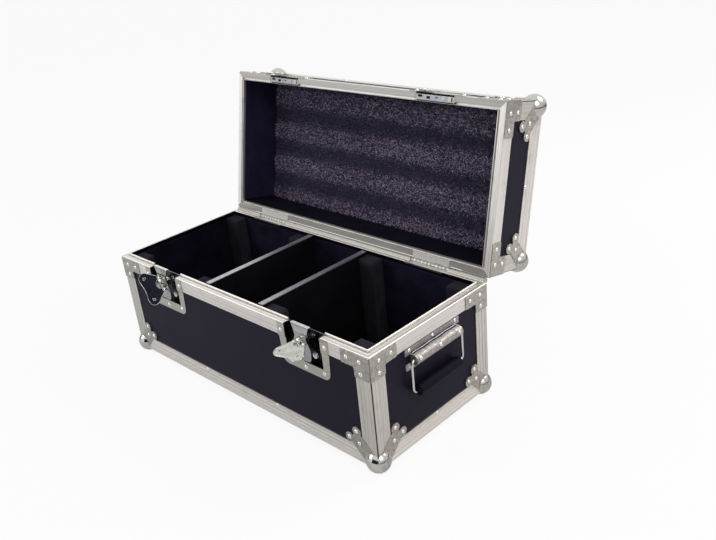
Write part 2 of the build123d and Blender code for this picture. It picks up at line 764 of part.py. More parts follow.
# The spindle: shaft, eccentric cam, cross-slotted head, and its tail upset behind the dish
cam_front = -hook_out + hook_travel_in + cam_gap
head_back = -hook_out - hook_sheet - fit
head_front = head_back - head_height
with BuildPart() as latch_spindle:
    with BuildSketch(Plane.XZ.offset(-dish_back - fit - spindle_tail_thickness)):
        Circle(spindle_radius)
    extrude(amount=dish_back + fit + spindle_tail_thickness - head_back)
    with BuildSketch(Plane.XZ.offset(-dish_back - fit - spindle_tail_thickness)):
        Circle(spindle_tail_radius)
    extrude(amount=spindle_tail_thickness)
    with BuildSketch(Plane.XZ.offset(-pocket_depth + fit)):
        with Locations((0, cam_throw)):
            Circle(cam_radius)
    extrude(amount=pocket_depth - fit - cam_front)
    with BuildSketch(Plane.XZ.offset(-head_back)):
        Circle(head_radius)
    extrude(amount=head_height)
    chamfer(latch_spindle.edges().filter_by(GeomType.CIRCLE).sort_by(Axis.Y)[0], head_edge)
    with BuildSketch(Plane.XZ.offset(-head_front - head_recess_depth)):
        Rectangle(head_radius, head_recess_width)
        Rectangle(head_recess_width, head_radius)
    extrude(amount=head_recess_depth, mode=Mode.SUBTRACT)
    with Locations((0, -wing_pivot_out, 0)):
        Cylinder(wing_pin_radius + spindle_running_gap, 4 * head_radius, rotation=(0, 90, 0),
                 mode=Mode.SUBTRACT)

# The wing: two lobes with finger holes, notched round the head and hung on a cross pin. It is drawn
# standing straight out of the face
lobe_x = wing_lobe_spacing / 2
lobe_y = -wing_pivot_out - wing_lobe_reach
ear_x = head_radius + fit + wing_ear_radius
waist_y = lobe_y - wing_lobe_radius + wing_waist - wing_waist_radius
with BuildPart() as latch_wing:
    with BuildSketch(Plane.XY.offset(-wing_sheet / 2)):
        with Locations((-lobe_x, lobe_y), (lobe_x, lobe_y)):
            Circle(wing_lobe_radius)
        with Locations((-ear_x, -wing_pivot_out), (ear_x, -wing_pivot_out)):
            Circle(wing_ear_radius)
        make_hull()
        with Locations((0, -wing_pivot_out)):
            Circle(head_radius + wing_notch_gap, mode=Mode.SUBTRACT)
        with Locations((0, waist_y)):
            Circle(wing_waist_radius, mode=Mode.SUBTRACT)
        for side in (-1, 1):
            with Locations((side * lobe_x, lobe_y)):
                SlotOverall(wing_hole_length, wing_hole_width, rotation=side * wing_hole_angle,
                            mode=Mode.SUBTRACT)
    extrude(amount=wing_sheet)
    with Locations((-ear_x, -wing_pivot_out, 0), (ear_x, -wing_pivot_out, 0)):
        Cylinder(wing_ear_radius, wing_ear_width, rotation=(0, 90, 0))
    with Locations((0, -wing_pivot_out, 0)):
        Cylinder(wing_pin_radius, 2 * ear_x, rotation=(0, 90, 0))

# The hook plate: its bent side profile is run across and cut to the bell, neck and head
hook_rise = spindle_drop + hook_top
plate_front = -hook_out - hook_sheet
slot_width = 2 * (spindle_radius + hook_slot_gap)
with BuildPart() as latch_hook:
    with BuildSketch(Plane.YZ.offset(-hook_bell_width / 2)):
        with BuildLine():
            Polyline(
                (plate_front, -hook_bell_drop), (plate_front, hook_joggle_rise),
                (plate_front + hook_joggle, hook_joggle_rise + hook_sheet),
                (plate_front + hook_joggle, hook_rise), (hook_lip_length - hook_out, hook_rise),
                (hook_lip_length - hook_out, hook_rise - hook_sheet),
                (hook_joggle - hook_out, hook_rise - hook_sheet),
                (hook_joggle - hook_out, hook_joggle_rise + hook_sheet),
                (-hook_out, hook_joggle_rise), (-hook_out, -hook_bell_drop), close=True,
            )
        make_face()
    extrude(amount=hook_bell_width)
    with BuildSketch(Plane.XZ.offset(-2 * hook_lip_length)):
        with BuildLine():
            Polyline(
                (-hook_top_width / 2, hook_rise), (hook_top_width / 2, hook_rise),
                (hook_neck_width / 2, hook_neck_rise), (hook_bell_width / 2, -hook_bell_shoulder),
                (hook_bell_width / 2 - hook_bell_taper, -hook_bell_drop),
                (hook_bell_taper - hook_bell_width / 2, -hook_bell_drop),
                (-hook_bell_width / 2, -hook_bell_shoulder), (-hook_neck_width / 2, hook_neck_rise),
                close=True,
            )
        make_face()
        for x, y, radius in ((hook_neck_width / 2, hook_neck_rise, hook_neck_round),
                             (hook_bell_width / 2, -hook_bell_shoulder, hook_neck_round),
                             (hook_bell_width / 2 - hook_bell_taper, -hook_bell_drop, hook_bell_round)):
            fillet(sketch_corner(x, y), radius)
            fillet(sketch_corner(-x, y), radius)
        with Locations((0, hook_travel_down / 2)):
            SlotOverall(slot_width + hook_travel_down, slot_width, rotation=90,
                        mode=Mode.SUBTRACT)
    extrude(amount=4 * hook_lip_length, mode=Mode.INTERSECT)

wing_pivot = Location((0, -wing_pivot_out, 0))
for side, centre, turned, drooped in (
    ("left", latch_centres[0], left_wing_turn, left_wing_droop),
    ("right", latch_centres[1], right_wing_turn, right_wing_droop),
):
    turn = Location((0, 0, 0), (0, turned, 0))
    droop = Location((0, 0, 0), (drooped, 0, 0))
    place = Location((centre, -half_depth, rim))
    spindle_place = Location((centre, -half_depth, spindle_height))
    wing_place = spindle_place * turn * wing_pivot * droop * wing_pivot.inverse()
    save(latch_dish.part.moved(place), f"{side}_latch_dish")
    save_open(keeper_dish.part.moved(place), f"{side}_keeper_dish")
    save(latch_spindle.part.moved(spindle_place * turn), f"{side}_latch_spindle")
    save(latch_wing.part.moved(wing_place), f"{side}_latch_wing")
    save(latch_hook.part.moved(spindle_place), f"{side}_latch_hook")


# Hinges. A leaf lies on the rear face and is folded over the rim, where its top is ribbed

def hinge_leaf(up, knuckles, with_stop):
    """A leaf at the middle of the rear face: up is -1 for the base's and 1 for the lid's."""
    face = rim if up < 0 else lid_rim
    flange_depth = lining_face - hinge_ledge if up < 0 else lid_groove_front - fit
    pitch = hinge_width / knuckle_count
    flange = Align.MAX if up < 0 else Align.MIN
    with BuildPart() as leaf:
        with Locations((0, half_depth, face)):
            Box(hinge_width, hinge_sheet, hinge_drop, align=(Align.CENTER, Align.MIN, flange))
        with Locations((0, half_depth + hinge_sheet, face)):
            Box(hinge_width, flange_depth + hinge_sheet, hinge_sheet,
                align=(Align.CENTER, Align.MAX, flange))
        for index in knuckles:
            x = (index - (knuckle_count - 1) / 2) * pitch
            with BuildSketch(Plane.YZ.offset(x - (pitch - knuckle_gap) / 2)):
                with Locations((hinge_y, hinge_z)):
                    Circle(knuckle_radius)
                with Locations((half_depth + hinge_sheet / 2, hinge_z + up * knuckle_radius)):
                    Rectangle(hinge_offset - hinge_sheet / 2, hinge_web,
                              align=(Align.MIN, Align.MIN if up < 0 else Align.MAX))
            extrude(amount=pitch - knuckle_gap)
        if with_stop:
            for index in knuckles:
                x = (index - (knuckle_count - 1) / 2) * pitch
                add(stop_lug.moved(Location((x, 0, 0))))
        with Locations((0, hinge_y, hinge_z)):
            Cylinder(hinge_pin_radius + hinge_running_gap, 2 * hinge_width, rotation=(0, 90, 0),
                     mode=Mode.SUBTRACT)
    return leaf.part


# The lug on the lid's knuckles that meets the base leaf's face when the lid is open
lug_reach = hinge_offset - hinge_sheet - fit
with BuildPart() as open_lug:
    with BuildSketch(Plane.YZ.offset(-stop_lug_length / 2)):
        with Locations((hinge_y - lug_reach, hinge_z)):
            Rectangle(lug_reach, stop_lug_drop, align=(Align.MIN, Align.MAX))
    extrude(amount=stop_lug_length)
stop_lug = open_lug.part.moved(lid_pose.inverse())

base_leaf = hinge_leaf(-1, (0, 2, 4), False)
lid_leaf = hinge_leaf(1, (1, 3), True)
for side, centre in (("left", hinge_centres[0]), ("right", hinge_centres[1])):
    save(base_leaf.moved(Location((centre, 0, 0))), f"{side}_hinge_base_leaf")
    save_open(lid_leaf.moved(Location((centre, 0, 0))), f"{side}_hinge_lid_leaf")
with BuildPart() as hinge_pins:
    with Locations([(x, hinge_y, hinge_z) for x in hinge_centres]):
        Cylinder(hinge_pin_radius, hinge_width, rotation=(0, 90, 0))
save(hinge_pins.part, "hinge_pins")

# End handles, drawn for the right end: the plate, the sprung bail and its grip
handle_z = rim - handle_drop
board_face = half_width - angle_wall
bail_x = board_face + bail_axis_out
tunnel_straight = tunnel_inner_rise - tunnel_half_height

with BuildPart() as handle_plate:
    with BuildSketch(Plane.YZ.offset(board_face)):
        with Locations((0, handle_z)):
            RectangleRounded(handle_width, handle_plate_height, handle_plate_round)
            Rectangle(handle_width, 2 * tunnel_half_height, mode=Mode.SUBTRACT)
    extrude(amount=handle_sheet)
    # The tunnel's section is drawn across the case and runs along its depth
    with BuildSketch(Plane((board_face, tunnel_length / 2, handle_z), x_dir=(1, 0, 0),
                           z_dir=(0, -1, 0))):
        with Locations((tunnel_straight, 0)):
            Circle(tunnel_half_height + handle_sheet)
            Rectangle(tunnel_straight, 2 * (tunnel_half_height + handle_sheet),
                      align=(Align.MAX, Align.CENTER))
            Circle(tunnel_half_height, mode=Mode.SUBTRACT)
            Rectangle(2 * tunnel_half_height, 2 * tunnel_half_height,
                      align=(Align.MAX, Align.CENTER), mode=Mode.SUBTRACT)
        Rectangle(4 * tunnel_half_height, 4 * tunnel_half_height,
                  align=(Align.MAX, Align.CENTER), mode=Mode.SUBTRACT)
    extrude(amount=tunnel_length)
    # A bearing just inside each mouth carries the wire
    for mouth in (tunnel_length / 2 - bearing_inset,
                  bearing_inset + bearing_thickness - tunnel_length / 2):
        with BuildSketch(Plane((board_face, mouth, handle_z), x_dir=(1, 0, 0), z_dir=(0, -1, 0))):
            with Locations((tunnel_straight, 0)):
                Circle(tunnel_half_height)
                Rectangle(tunnel_straight, 2 * tunnel_half_height, align=(Align.MAX, Align.CENTER))
            Rectangle(4 * tunnel_half_height, 4 * tunnel_half_height,
                      align=(Align.MAX, Align.CENTER), mode=Mode.SUBTRACT)
            with Locations((bail_axis_out, 0)):
                Circle(bail_wire_radius + bearing_gap, mode=Mode.SUBTRACT)
        extrude(amount=bearing_thickness)

# The wire's two ends meet with a gap inside the tunnel; the grip rests on the board
bail_half = bail_width / 2
with BuildPart() as bail:
    with BuildLine() as bail_path:
        FilletPolyline(
            (0, -bail_end_gap / 2, 0), (0, -bail_half, 0), (0, -bail_half, -bail_drop),
            (0, bail_half, -bail_drop), (0, bail_half, 0), (0, bail_end_gap / 2, 0),
            radius=bail_bend,
        )
    with BuildSketch(Plane((0, -bail_end_gap / 2, 0), z_dir=(0, -1, 0))):
        Circle(bail_wire_radius)
    sweep(path=bail_path.wires()[0])
with BuildPart() as grip:
    with BuildSketch(Plane.XZ.offset(-grip_length / 2)):
        with Locations((0, -bail_drop)):
            Circle(grip_radius)
    extrude(amount=grip_length)
    chamfer(grip.edges().filter_by(GeomType.CIRCLE), grip_edge)
    with Locations((0, 0, -bail_drop)):
        Cylinder(bail_wire_radius + grip_wire_gap, 2 * grip_length, rotation=(90, 0, 0),
                 mode=Mode.SUBTRACT)

bail_rest_angle = degrees(asin((grip_radius + fit - bail_axis_out) / bail_drop))
bail_pose = Location((bail_x, 0, handle_z)) * Location((0, 0, 0), (0, -bail_rest_angle, 0))
right_pieces = {
    "handle_plate": handle_plate.part,
    "handle_bail": bail.part.moved(bail_pose),
    "handle_grip": grip.part.moved(bail_pose),
}
for name, piece in right_pieces.items():
    save(piece, f"right_{name}")
    save(mirror(piece, about=Plane.YZ), f"left_{name}")

print("rim height", round(rim, 2), "lid top shut", round(lid_top, 2))
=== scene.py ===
# Flight case with butterfly latches: finishes, foam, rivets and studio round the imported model
import json
import math

import bmesh
import bpy
from mathutils import Euler, Matrix, Vector, noise


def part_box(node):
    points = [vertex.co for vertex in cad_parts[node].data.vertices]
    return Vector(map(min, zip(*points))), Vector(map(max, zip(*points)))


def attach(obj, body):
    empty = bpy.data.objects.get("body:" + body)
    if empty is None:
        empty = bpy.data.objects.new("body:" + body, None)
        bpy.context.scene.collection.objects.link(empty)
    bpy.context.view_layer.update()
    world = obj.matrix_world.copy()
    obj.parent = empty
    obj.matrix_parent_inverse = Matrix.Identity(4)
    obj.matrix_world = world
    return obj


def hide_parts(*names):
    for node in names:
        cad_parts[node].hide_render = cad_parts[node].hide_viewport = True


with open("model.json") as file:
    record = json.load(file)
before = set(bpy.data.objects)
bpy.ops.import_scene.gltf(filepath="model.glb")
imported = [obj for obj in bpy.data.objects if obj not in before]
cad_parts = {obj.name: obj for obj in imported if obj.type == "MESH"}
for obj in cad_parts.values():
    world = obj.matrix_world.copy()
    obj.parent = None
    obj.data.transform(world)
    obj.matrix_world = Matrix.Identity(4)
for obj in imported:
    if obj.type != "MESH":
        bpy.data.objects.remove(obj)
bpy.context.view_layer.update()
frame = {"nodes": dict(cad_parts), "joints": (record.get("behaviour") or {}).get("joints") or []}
nodes = frame["nodes"]
joints = {joint["name"]: joint for joint in frame["joints"]}
print("frame loaded:", len(nodes), "nodes")

# Places that everything below is set out from, in metres
angleLow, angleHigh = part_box("base_long_angles")
halfWidth, halfDepth, underside = angleHigh.x, angleHigh.y, angleLow.z
hinge = Vector(joints["lid_hinge"]["pos_m"])
openAngle = max(abs(v) for v in joints["lid_hinge"]["range_deg"])
rimGap = 0.0005
rimTop = hinge.z - rimGap / 2  # the hinge runs in the middle of the gap between the rims
lidRim = rimTop + rimGap
lidHeight = 0.107  # over its aluminium edges
lidTop = lidRim + lidHeight
steelSheet = 0.0012  # pressed steel stands this far proud of the aluminium
lidTurn = (Matrix.Translation(hinge) @ Matrix.Rotation(math.radians(-openAngle), 4, "X")
           @ Matrix.Translation(-hinge))  # takes a point of the shut lid to where it lies open
lidBack = lidTurn.inverted()
mergeWithin = 1e-5  # corners of the solids' facets that lie this near are one


def srgb(code):
    channels = [int(code[i:i + 2], 16) / 255 for i in (1, 3, 5)]
    return tuple(c / 12.92 if c < 0.04045 else ((c + 0.055) / 1.055) ** 2.4 for c in channels) + (1.0,)


def joinTo(tree, node, links):
    # a link comes from an output, or from the first output of the node that is given
    for name, source in links.items():
        output = source.outputs[0] if isinstance(source, bpy.types.Node) else source
        tree.links.new(output, node.inputs[name])


def addNode(tree, kind, settings=None, links=None):
    # settings by property name or by socket
    node = tree.nodes.new(kind)
    for name, value in (settings or {}).items():
        if isinstance(name, str) and hasattr(node, name):
            setattr(node, name, value)
        else:
            node.inputs[name].default_value = value
    joinTo(tree, node, links or {})
    return node


def fromTo(low, high, first=0.0, last=1.0):
    # the sockets of a map range: the span that goes in, and what comes out at its two ends
    return {1: low, 2: high, 3: first, 4: last}


def tones(first="#000000", second="#000000"):
    # the settings of a colour mix; a side that another node feeds keeps its default here
    return {"data_type": "RGBA", 6: srgb(first), 7: srgb(second)}


def newFinish(name, metallic, roughness, colour, gloss=0.5):
    material = bpy.data.materials.new(name)
    material.use_nodes = True
    tree = material.node_tree
    shader = tree.nodes["Principled BSDF"]
    values = {"Metallic": metallic, "Roughness": roughness, "Base Color": srgb(colour),
              "Specular IOR Level": gloss}
    for socket, value in values.items():
        shader.inputs[socket].default_value = value
    return material, tree, shader


def shutPlace(tree, onLid, stretch=(1, 1, 1)):
    # object coordinates in metres with the lid turned back to shut, then stretched
    spot = addNode(tree, "ShaderNodeTexCoord").outputs["Object"]
    if onLid:
        back = {"Rotation": lidBack.to_euler("XYZ"), "Location": lidBack.to_translation()}
        spot = addNode(tree, "ShaderNodeMapping", back, {"Vector": spot})
    return addNode(tree, "ShaderNodeMapping", {"Scale": stretch}, {"Vector": spot})


def paint(ends, material):
    # every rigid node whose name ends so
    for name, thing in nodes.items():
        if name.endswith(ends):
            for slot in thing.material_slots:
                slot.material = material


def newObject(name, data):
    thing = bpy.data.objects.new(name, data)
    bpy.context.scene.collection.objects.link(thing)
    return thing


def drawnObject(name, spots, lines, faces, finish=None):
    mesh = bpy.data.meshes.new(name)
    mesh.from_pydata(spots, lines, faces)
    if finish:
        mesh.materials.append(finish)
    return newObject(name, mesh)


def mergedFacets(node):
    build = bmesh.new()
    build.from_mesh(nodes[node].data)
    bmesh.ops.remove_doubles(build, verts=build.verts, dist=mergeWithin)
    return build


def ringFaces(first, second, count):
    # the quads between two closed rings of points
    return [(first + i, first + (i + 1) % count, second + (i + 1) % count, second + i) for i in range(count)]


def settled(thing):
    # the evaluated result as a plain mesh, with every modifier gone
    graph = bpy.context.evaluated_depsgraph_get()
    mesh = bpy.data.meshes.new_from_object(thing.evaluated_get(graph))
    thing.modifiers.clear()
    thing.data = mesh
    return thing


# Camera at the photograph's viewing angle
cameraSettings = {"place": (1.00744, -0.80157, 0.78674), "turn": (64.936, 5.284, 43.541), "lens": 39.95}
camera = newObject("camera", bpy.data.cameras.new("camera"))
camera.data.lens = cameraSettings["lens"]
camera.location = cameraSettings["place"]
camera.rotation_euler = Euler([math.radians(a) for a in cameraSettings["turn"]], "XYZ")
bpy.context.scene.camera = camera
bpy.context.scene.view_settings.view_transform = "Standard"

# Studio: white room, pale floor, soft boxes, and dark cards that only metal reflects
studio = {
    "roomColour": "#eef0f4", "roomStrength": 0.55, "seenStrength": 0.955,
    "floorColour": "#f2f2f2", "floorSize": 30.0, "floorGlow": 0.9,
    "boxes": [
        {"place": (2.1, -0.5, 1.9), "aim": (0.2, 0, 0.15), "size": 1.2, "power": 16, "colour": "#fff4ee"},
        {"place": (-1.7, -1.6, 1.6), "aim": (-0.6, -0.6, 0), "size": 1.0, "power": 12, "colour": "#ffffff"},
        {"place": (1.1, 1.5, 1.7), "aim": (1.0, 1.1, 0), "size": 1.1, "power": 22, "colour": "#fff8f4"},
        {"place": (-2.6, -2.9, 1.5), "aim": (-2.2, -3.2, 0), "size": 1.2, "power": 30, "colour": "#ffffff"},
    ],
    "cards": [
        {"place": (0.8, -2.0, 0.6), "size": (2.4, 1.2), "turn": 0},
        {"place": (0, 2.0, 0.17), "size": (4.4, 0.34), "turn": 0},
        {"place": (-2.2, 0, 0.17), "size": (3.8, 0.34), "turn": 90},
        {"place": (2.2, 0, 0.17), "size": (3.8, 0.34), "turn": 90},
    ],
}


def makeStudio(s):
    world = bpy.data.worlds.new("whiteRoom")
    bpy.context.scene.world = world
    world.use_nodes = True
    tree = world.node_tree
    tree.nodes.clear()
    room = {"Color": srgb(s["roomColour"]), "Strength": s["roomStrength"]}
    lit = addNode(tree, "ShaderNodeBackground", room)
    seen = addNode(tree, "ShaderNodeBackground", {"Color": (1, 1, 1, 1), "Strength": s["seenStrength"]})
    path = addNode(tree, "ShaderNodeLightPath")
    direct = addNode(tree, "ShaderNodeMath", {"operation": "MAXIMUM"},
                     {0: path.outputs["Is Camera Ray"], 1: path.outputs["Is Glossy Ray"]})
    either = addNode(tree, "ShaderNodeMath", {"operation": "MAXIMUM"},
                     {0: direct, 1: path.outputs["Is Transmission Ray"]})
    mixed = addNode(tree, "ShaderNodeMixShader", None, {0: either, 1: lit, 2: seen})
    addNode(tree, "ShaderNodeOutputWorld", None, {0: mixed})

    floorFinish, tree, shader = newFinish(
        "paleStudioFloor", metallic=0.0, roughness=0.85, colour=s["floorColour"])
    glow = addNode(tree, "ShaderNodeEmission", {"Color": (1, 1, 1, 1), "Strength": 1.0})
    path = addNode(tree, "ShaderNodeLightPath")
    # what is left of the floor's own shade keeps the shadow
    share = addNode(tree, "ShaderNodeMath", {"operation": "MULTIPLY", 1: s["floorGlow"]},
                    {0: path.outputs["Is Camera Ray"]})
    mixed = addNode(tree, "ShaderNodeMixShader", None, {0: share, 1: shader, 2: glow})
    joinTo(tree, tree.nodes["Material Output"], {0: mixed})
    half = s["floorSize"] / 2
    corners = [(-half, -half, 0), (half, -half, 0), (half, half, 0), (-half, half, 0)]
    floor = drawnObject("studioFloor", corners, [], [(0, 1, 2, 3)], floorFinish)

    velvet = newFinish("navyVelvetCard", metallic=0.0, roughness=1.0, colour="#2a2c42", gloss=0.0)[0]
    for index, c in enumerate(s["cards"]):
        wide, high = c["size"][0] / 2, c["size"][1] / 2
        corners = [(-wide, 0, -high), (wide, 0, -high), (wide, 0, high), (-wide, 0, high)]
        card = drawnObject("blackCard" + str(index), corners, [], [(0, 1, 2, 3)], velvet)
        turn = Matrix.Rotation(math.radians(c["turn"]), 4, "Z")
        card.data.transform(Matrix.Translation(c["place"]) @ turn)
        card.visible_camera = card.visible_diffuse = card.visible_shadow = False

    for index, box in enumerate(s["boxes"]):
        light = bpy.data.lights.new("softBox" + str(index), "AREA")
        light.size = box["size"]
        light.energy = box["power"]
        light.color = srgb(box["colour"])[:3]
        lamp = newObject(light.name, light)
        lamp.location = box["place"]
        lamp.rotation_euler = (Vector(box["aim"]) - lamp.location).to_track_quat("-Z", "Y").to_euler()


makeStudio(studio)
print("camera and studio ready")

# Finishes. Pairs and fours of numbers, such as stripes and patches, are what fromTo takes.
# Real die lines lie about 0.3 mm apart, too fine to show, so these are coarser
edgeFinish = {
    "pale": "#e4e1dd", "grey": "#d8d5d0", "dull": "#b9b6b0", "seam": "#4a4845", "roughness": 0.48,
    "lineMm": 3.6, "fineLineMm": 1.2, "alongScale": 1.2, "stripes": (0.42, 0.62),
    "cloudMm": 30, "patches": (0.56, 0.8, 0, 0.7), "seamMm": 0.32, "roundedMm": 0.88,
    "rimShade": 0.5, "rimFaceMm": (0.7, 1.2), "grain": (0.3, 0.7), "roughBy": (-0.05, 0.08)}
uprightFinish = {**edgeFinish, "pale": "#d4d2cc", "grey": "#c9c7c1"}
trimFinish = {**edgeFinish, "pale": "#b4b1ab", "grey": "#9f9c96", "roughness": 0.42}
# a dark band of painted shade along inner edges, where the parts meet the lining
innerEdgeShade = {"colour": "#1c1b22", "edgeMm": (0.1, 0.3)}


def mirroredParts(tree, onLid):
    # distances from the middle of the case along x, y and z
    place = addNode(tree, "ShaderNodeVectorMath", {"operation": "ABSOLUTE"}, {0: shutPlace(tree, onLid)})
    return addNode(tree, "ShaderNodeSeparateXYZ", None, {0: place}).outputs


def paintedInnerShade(tree, colour, onLid, across, inside):
    # painted shade: a dark band nearer the middle of the case than this, where the part meets the lining,
    # measured along axis number across
    start, end = (inside + mm / 1000 for mm in innerEdgeShade["edgeMm"])
    outsideShade = addNode(tree, "ShaderNodeMapRange", fromTo(start, end), {0: mirroredParts(tree, onLid)[across]})
    return addNode(tree, "ShaderNodeMix", tones(innerEdgeShade["colour"]), {0: outsideShade, 7: colour}).outputs[2]


def drawnAluminium(name, along, onLid, s, seamed=False, shadedInsideFrom=None):
    # satin anodised extrusion: pale and warm, die lines along the bar, a few dull rubbed patches
    material, tree, shader = newFinish(name, 1.0, s["roughness"], s["pale"])
    lines = []
    for width in (s["lineMm"], s["fineLineMm"]):
        stretch = [1000 / width] * 3
        stretch["xyz".index(along)] = s["alongScale"]
        lines.append(addNode(tree, "ShaderNodeTexNoise", {"Scale": 1.0, "Detail": 1.0},
                             {"Vector": shutPlace(tree, onLid, stretch)}))
    cloud = addNode(tree, "ShaderNodeTexNoise",
                    {"Scale": 1000 / s["cloudMm"], "Detail": 5.0, "Roughness": 0.62},
                    {"Vector": shutPlace(tree, onLid)})
    striped = addNode(tree, "ShaderNodeMapRange", fromTo(*s["stripes"]), {0: lines[0]})
    rubbed = addNode(tree, "ShaderNodeMapRange", fromTo(*s["patches"]), {0: cloud})
    colour = addNode(tree, "ShaderNodeMix", tones(s["pale"], s["grey"]), {0: striped}).outputs[2]
    colour = addNode(tree, "ShaderNodeMix", tones(second=s["dull"]), {0: rubbed, 6: colour}).outputs[2]
    if seamed:  # the two legs of an upright meet in a thin dark line down its edge
        parts = mirroredParts(tree, onLid)
        total = addNode(tree, "ShaderNodeMath", {"operation": "ADD"}, {0: parts[0], 1: parts[1]})
        edge, width = halfWidth + halfDepth - s["roundedMm"] / 1000, s["seamMm"] / 1000
        seam = addNode(tree, "ShaderNodeMapRange", fromTo(edge - width, edge - width / 2), {0: total})
        colour = addNode(tree, "ShaderNodeMix", tones(second=s["seam"]), {0: seam, 6: colour}).outputs[2]
    if onLid and along == "x":  # the face of the lid's long rims is darker than the rest: painted shade
        height = addNode(tree, "ShaderNodeSeparateXYZ", None, {0: shutPlace(tree, onLid)})
        start, end = (lidRim + mm / 1000 for mm in s["rimFaceMm"])
        unshadedFace = addNode(tree, "ShaderNodeMapRange", fromTo(start, end), {0: height.outputs[2]})
        scuffedAndShaded = addNode(tree, "ShaderNodeVectorMath", {"operation": "SCALE", "Scale": s["rimShade"]},
                       {0: colour})
        colour = addNode(tree, "ShaderNodeMix", tones(), {0: unshadedFace, 6: scuffedAndShaded, 7: colour}).outputs[2]
    if shadedInsideFrom:  # painted shade on the tongue's inner face
        colour = paintedInnerShade(tree, colour, onLid, "yx".index(along), shadedInsideFrom)
    spread = [s["roughness"] + by for by in s["roughBy"]]
    rough = addNode(tree, "ShaderNodeMapRange", fromTo(*s["grain"], *spread), {0: lines[1]})
    bump = addNode(tree, "ShaderNodeBump", {"Strength": 0.3, "Distance": 0.0002}, {"Height": lines[1]})
    joinTo(tree, shader, {"Base Color": colour, "Roughness": rough, "Normal": bump})
    return material


def spangled(tree, s, place, coarseness):
    # the cloudy spangle of a plated sheet, and the roughness that goes with it
    spangle = addNode(tree, "ShaderNodeTexNoise",
                      {"Scale": 1000 / s["spangleMm"], "Detail": 4.0, "Roughness": coarseness},
                      {"Vector": place})
    spread = [s["roughness"] * share for share in s["roughShares"]]
    return spangle, addNode(tree, "ShaderNodeMapRange", fromTo(*s["grain"], *spread), {0: spangle})


def platedSteel(name, s, onLid=False, ballHeight=None, shadedInsideFrom=None):
    # plated pressed steel: cool grey with a cloudy spangle and slow dents; balls are polished brighter
    material, tree, shader = newFinish(name, 1.0, s["roughness"], s["bright"])
    place = shutPlace(tree, onLid)
    spangle, rough = spangled(tree, s, place, coarseness=0.6)
    cloudy = addNode(tree, "ShaderNodeMapRange", fromTo(*s["clouds"]), {0: spangle})
    colour = addNode(tree, "ShaderNodeMix", tones(s["bright"], s["dull"]), {0: cloudy}).outputs[2]
    if ballHeight is not None:
        centre = (halfWidth - s["ballInset"], halfDepth - s["ballInset"], ballHeight)
        mirrored = addNode(tree, "ShaderNodeVectorMath", {"operation": "ABSOLUTE"}, {0: place})
        away = addNode(tree, "ShaderNodeVectorMath", {"operation": "DISTANCE", 1: centre}, {0: mirrored})
        plate = addNode(tree, "ShaderNodeMapRange", fromTo(*s["ballRadii"]), {0: away.outputs["Value"]})
        colour = addNode(tree, "ShaderNodeMix", tones(s["ball"]), {0: plate, 7: colour}).outputs[2]
        rough = addNode(tree, "ShaderNodeMix", {2: s["ballRoughness"]}, {0: plate, 3: rough})
    # painted shade along the leaf's inner edge
    if shadedInsideFrom:
        colour = paintedInnerShade(tree, colour, onLid, 1, shadedInsideFrom)
    dents = addNode(tree, "ShaderNodeTexNoise", {"Scale": 1000 / s["dentMm"], "Detail": 1.0},
                    {"Vector": place})
    bump = addNode(tree, "ShaderNodeBump", {"Strength": s["bump"], "Distance": 0.001}, {"Height": dents})
    joinTo(tree, shader, {"Base Color": colour, "Roughness": rough, "Normal": bump})
    return material


def shadeBandedSteel(name, s, onLid=False):
    # plated steel with painted shade and painted highlights in bands, by the depth into a pocket or the
    # height up a plate
    material, tree, shader = newFinish(name, 1.0, s["roughness"], s["tones"][0][1])
    place = shutPlace(tree, onLid)
    spangle, rough = spangled(tree, s, place, coarseness=0.5)
    split = addNode(tree, "ShaderNodeSeparateXYZ", None, {0: place})
    level = addNode(tree, "ShaderNodeMapRange", fromTo(s["start"], s["start"] + s["spanMm"] / 1000),
                    {0: split.outputs[s["axis"]]})
    colour = addNode(tree, "ShaderNodeValToRGB", None, {0: level})
    stops = colour.color_ramp.elements
    stops[0].color, stops[1].color = srgb(s["tones"][0][1]), srgb(s["tones"][-1][1])
    for atMm, code in s["tones"][1:-1]:
        stops.new(atMm / s["spanMm"]).color = srgb(code)
    if "rimMm" in s:  # the ledge beside the rim is left out of the painted bands and stays paler
        away = addNode(tree, "ShaderNodeMath", {"operation": "SUBTRACT", 1: hinge.z}, {0: split.outputs[2]})
        near = addNode(tree, "ShaderNodeMath", {"operation": "ABSOLUTE"}, {0: away})
        ledge = s["rimMm"] / 1000
        inner = addNode(tree, "ShaderNodeMapRange", fromTo(ledge, ledge + s["fadeMm"] / 1000), {0: near})
        colour = addNode(tree, "ShaderNodeMix", tones(s["rim"]), {0: inner, 7: colour}).outputs[2]
    cloudy = addNode(tree, "ShaderNodeMapRange", fromTo(*s["clouds"], *s["cloudShades"]), {0: spangle})
    colour = addNode(tree, "ShaderNodeVectorMath", {"operation": "SCALE"}, {0: colour, "Scale": cloudy})
    joinTo(tree, shader, {"Base Color": colour, "Roughness": rough})
    return material


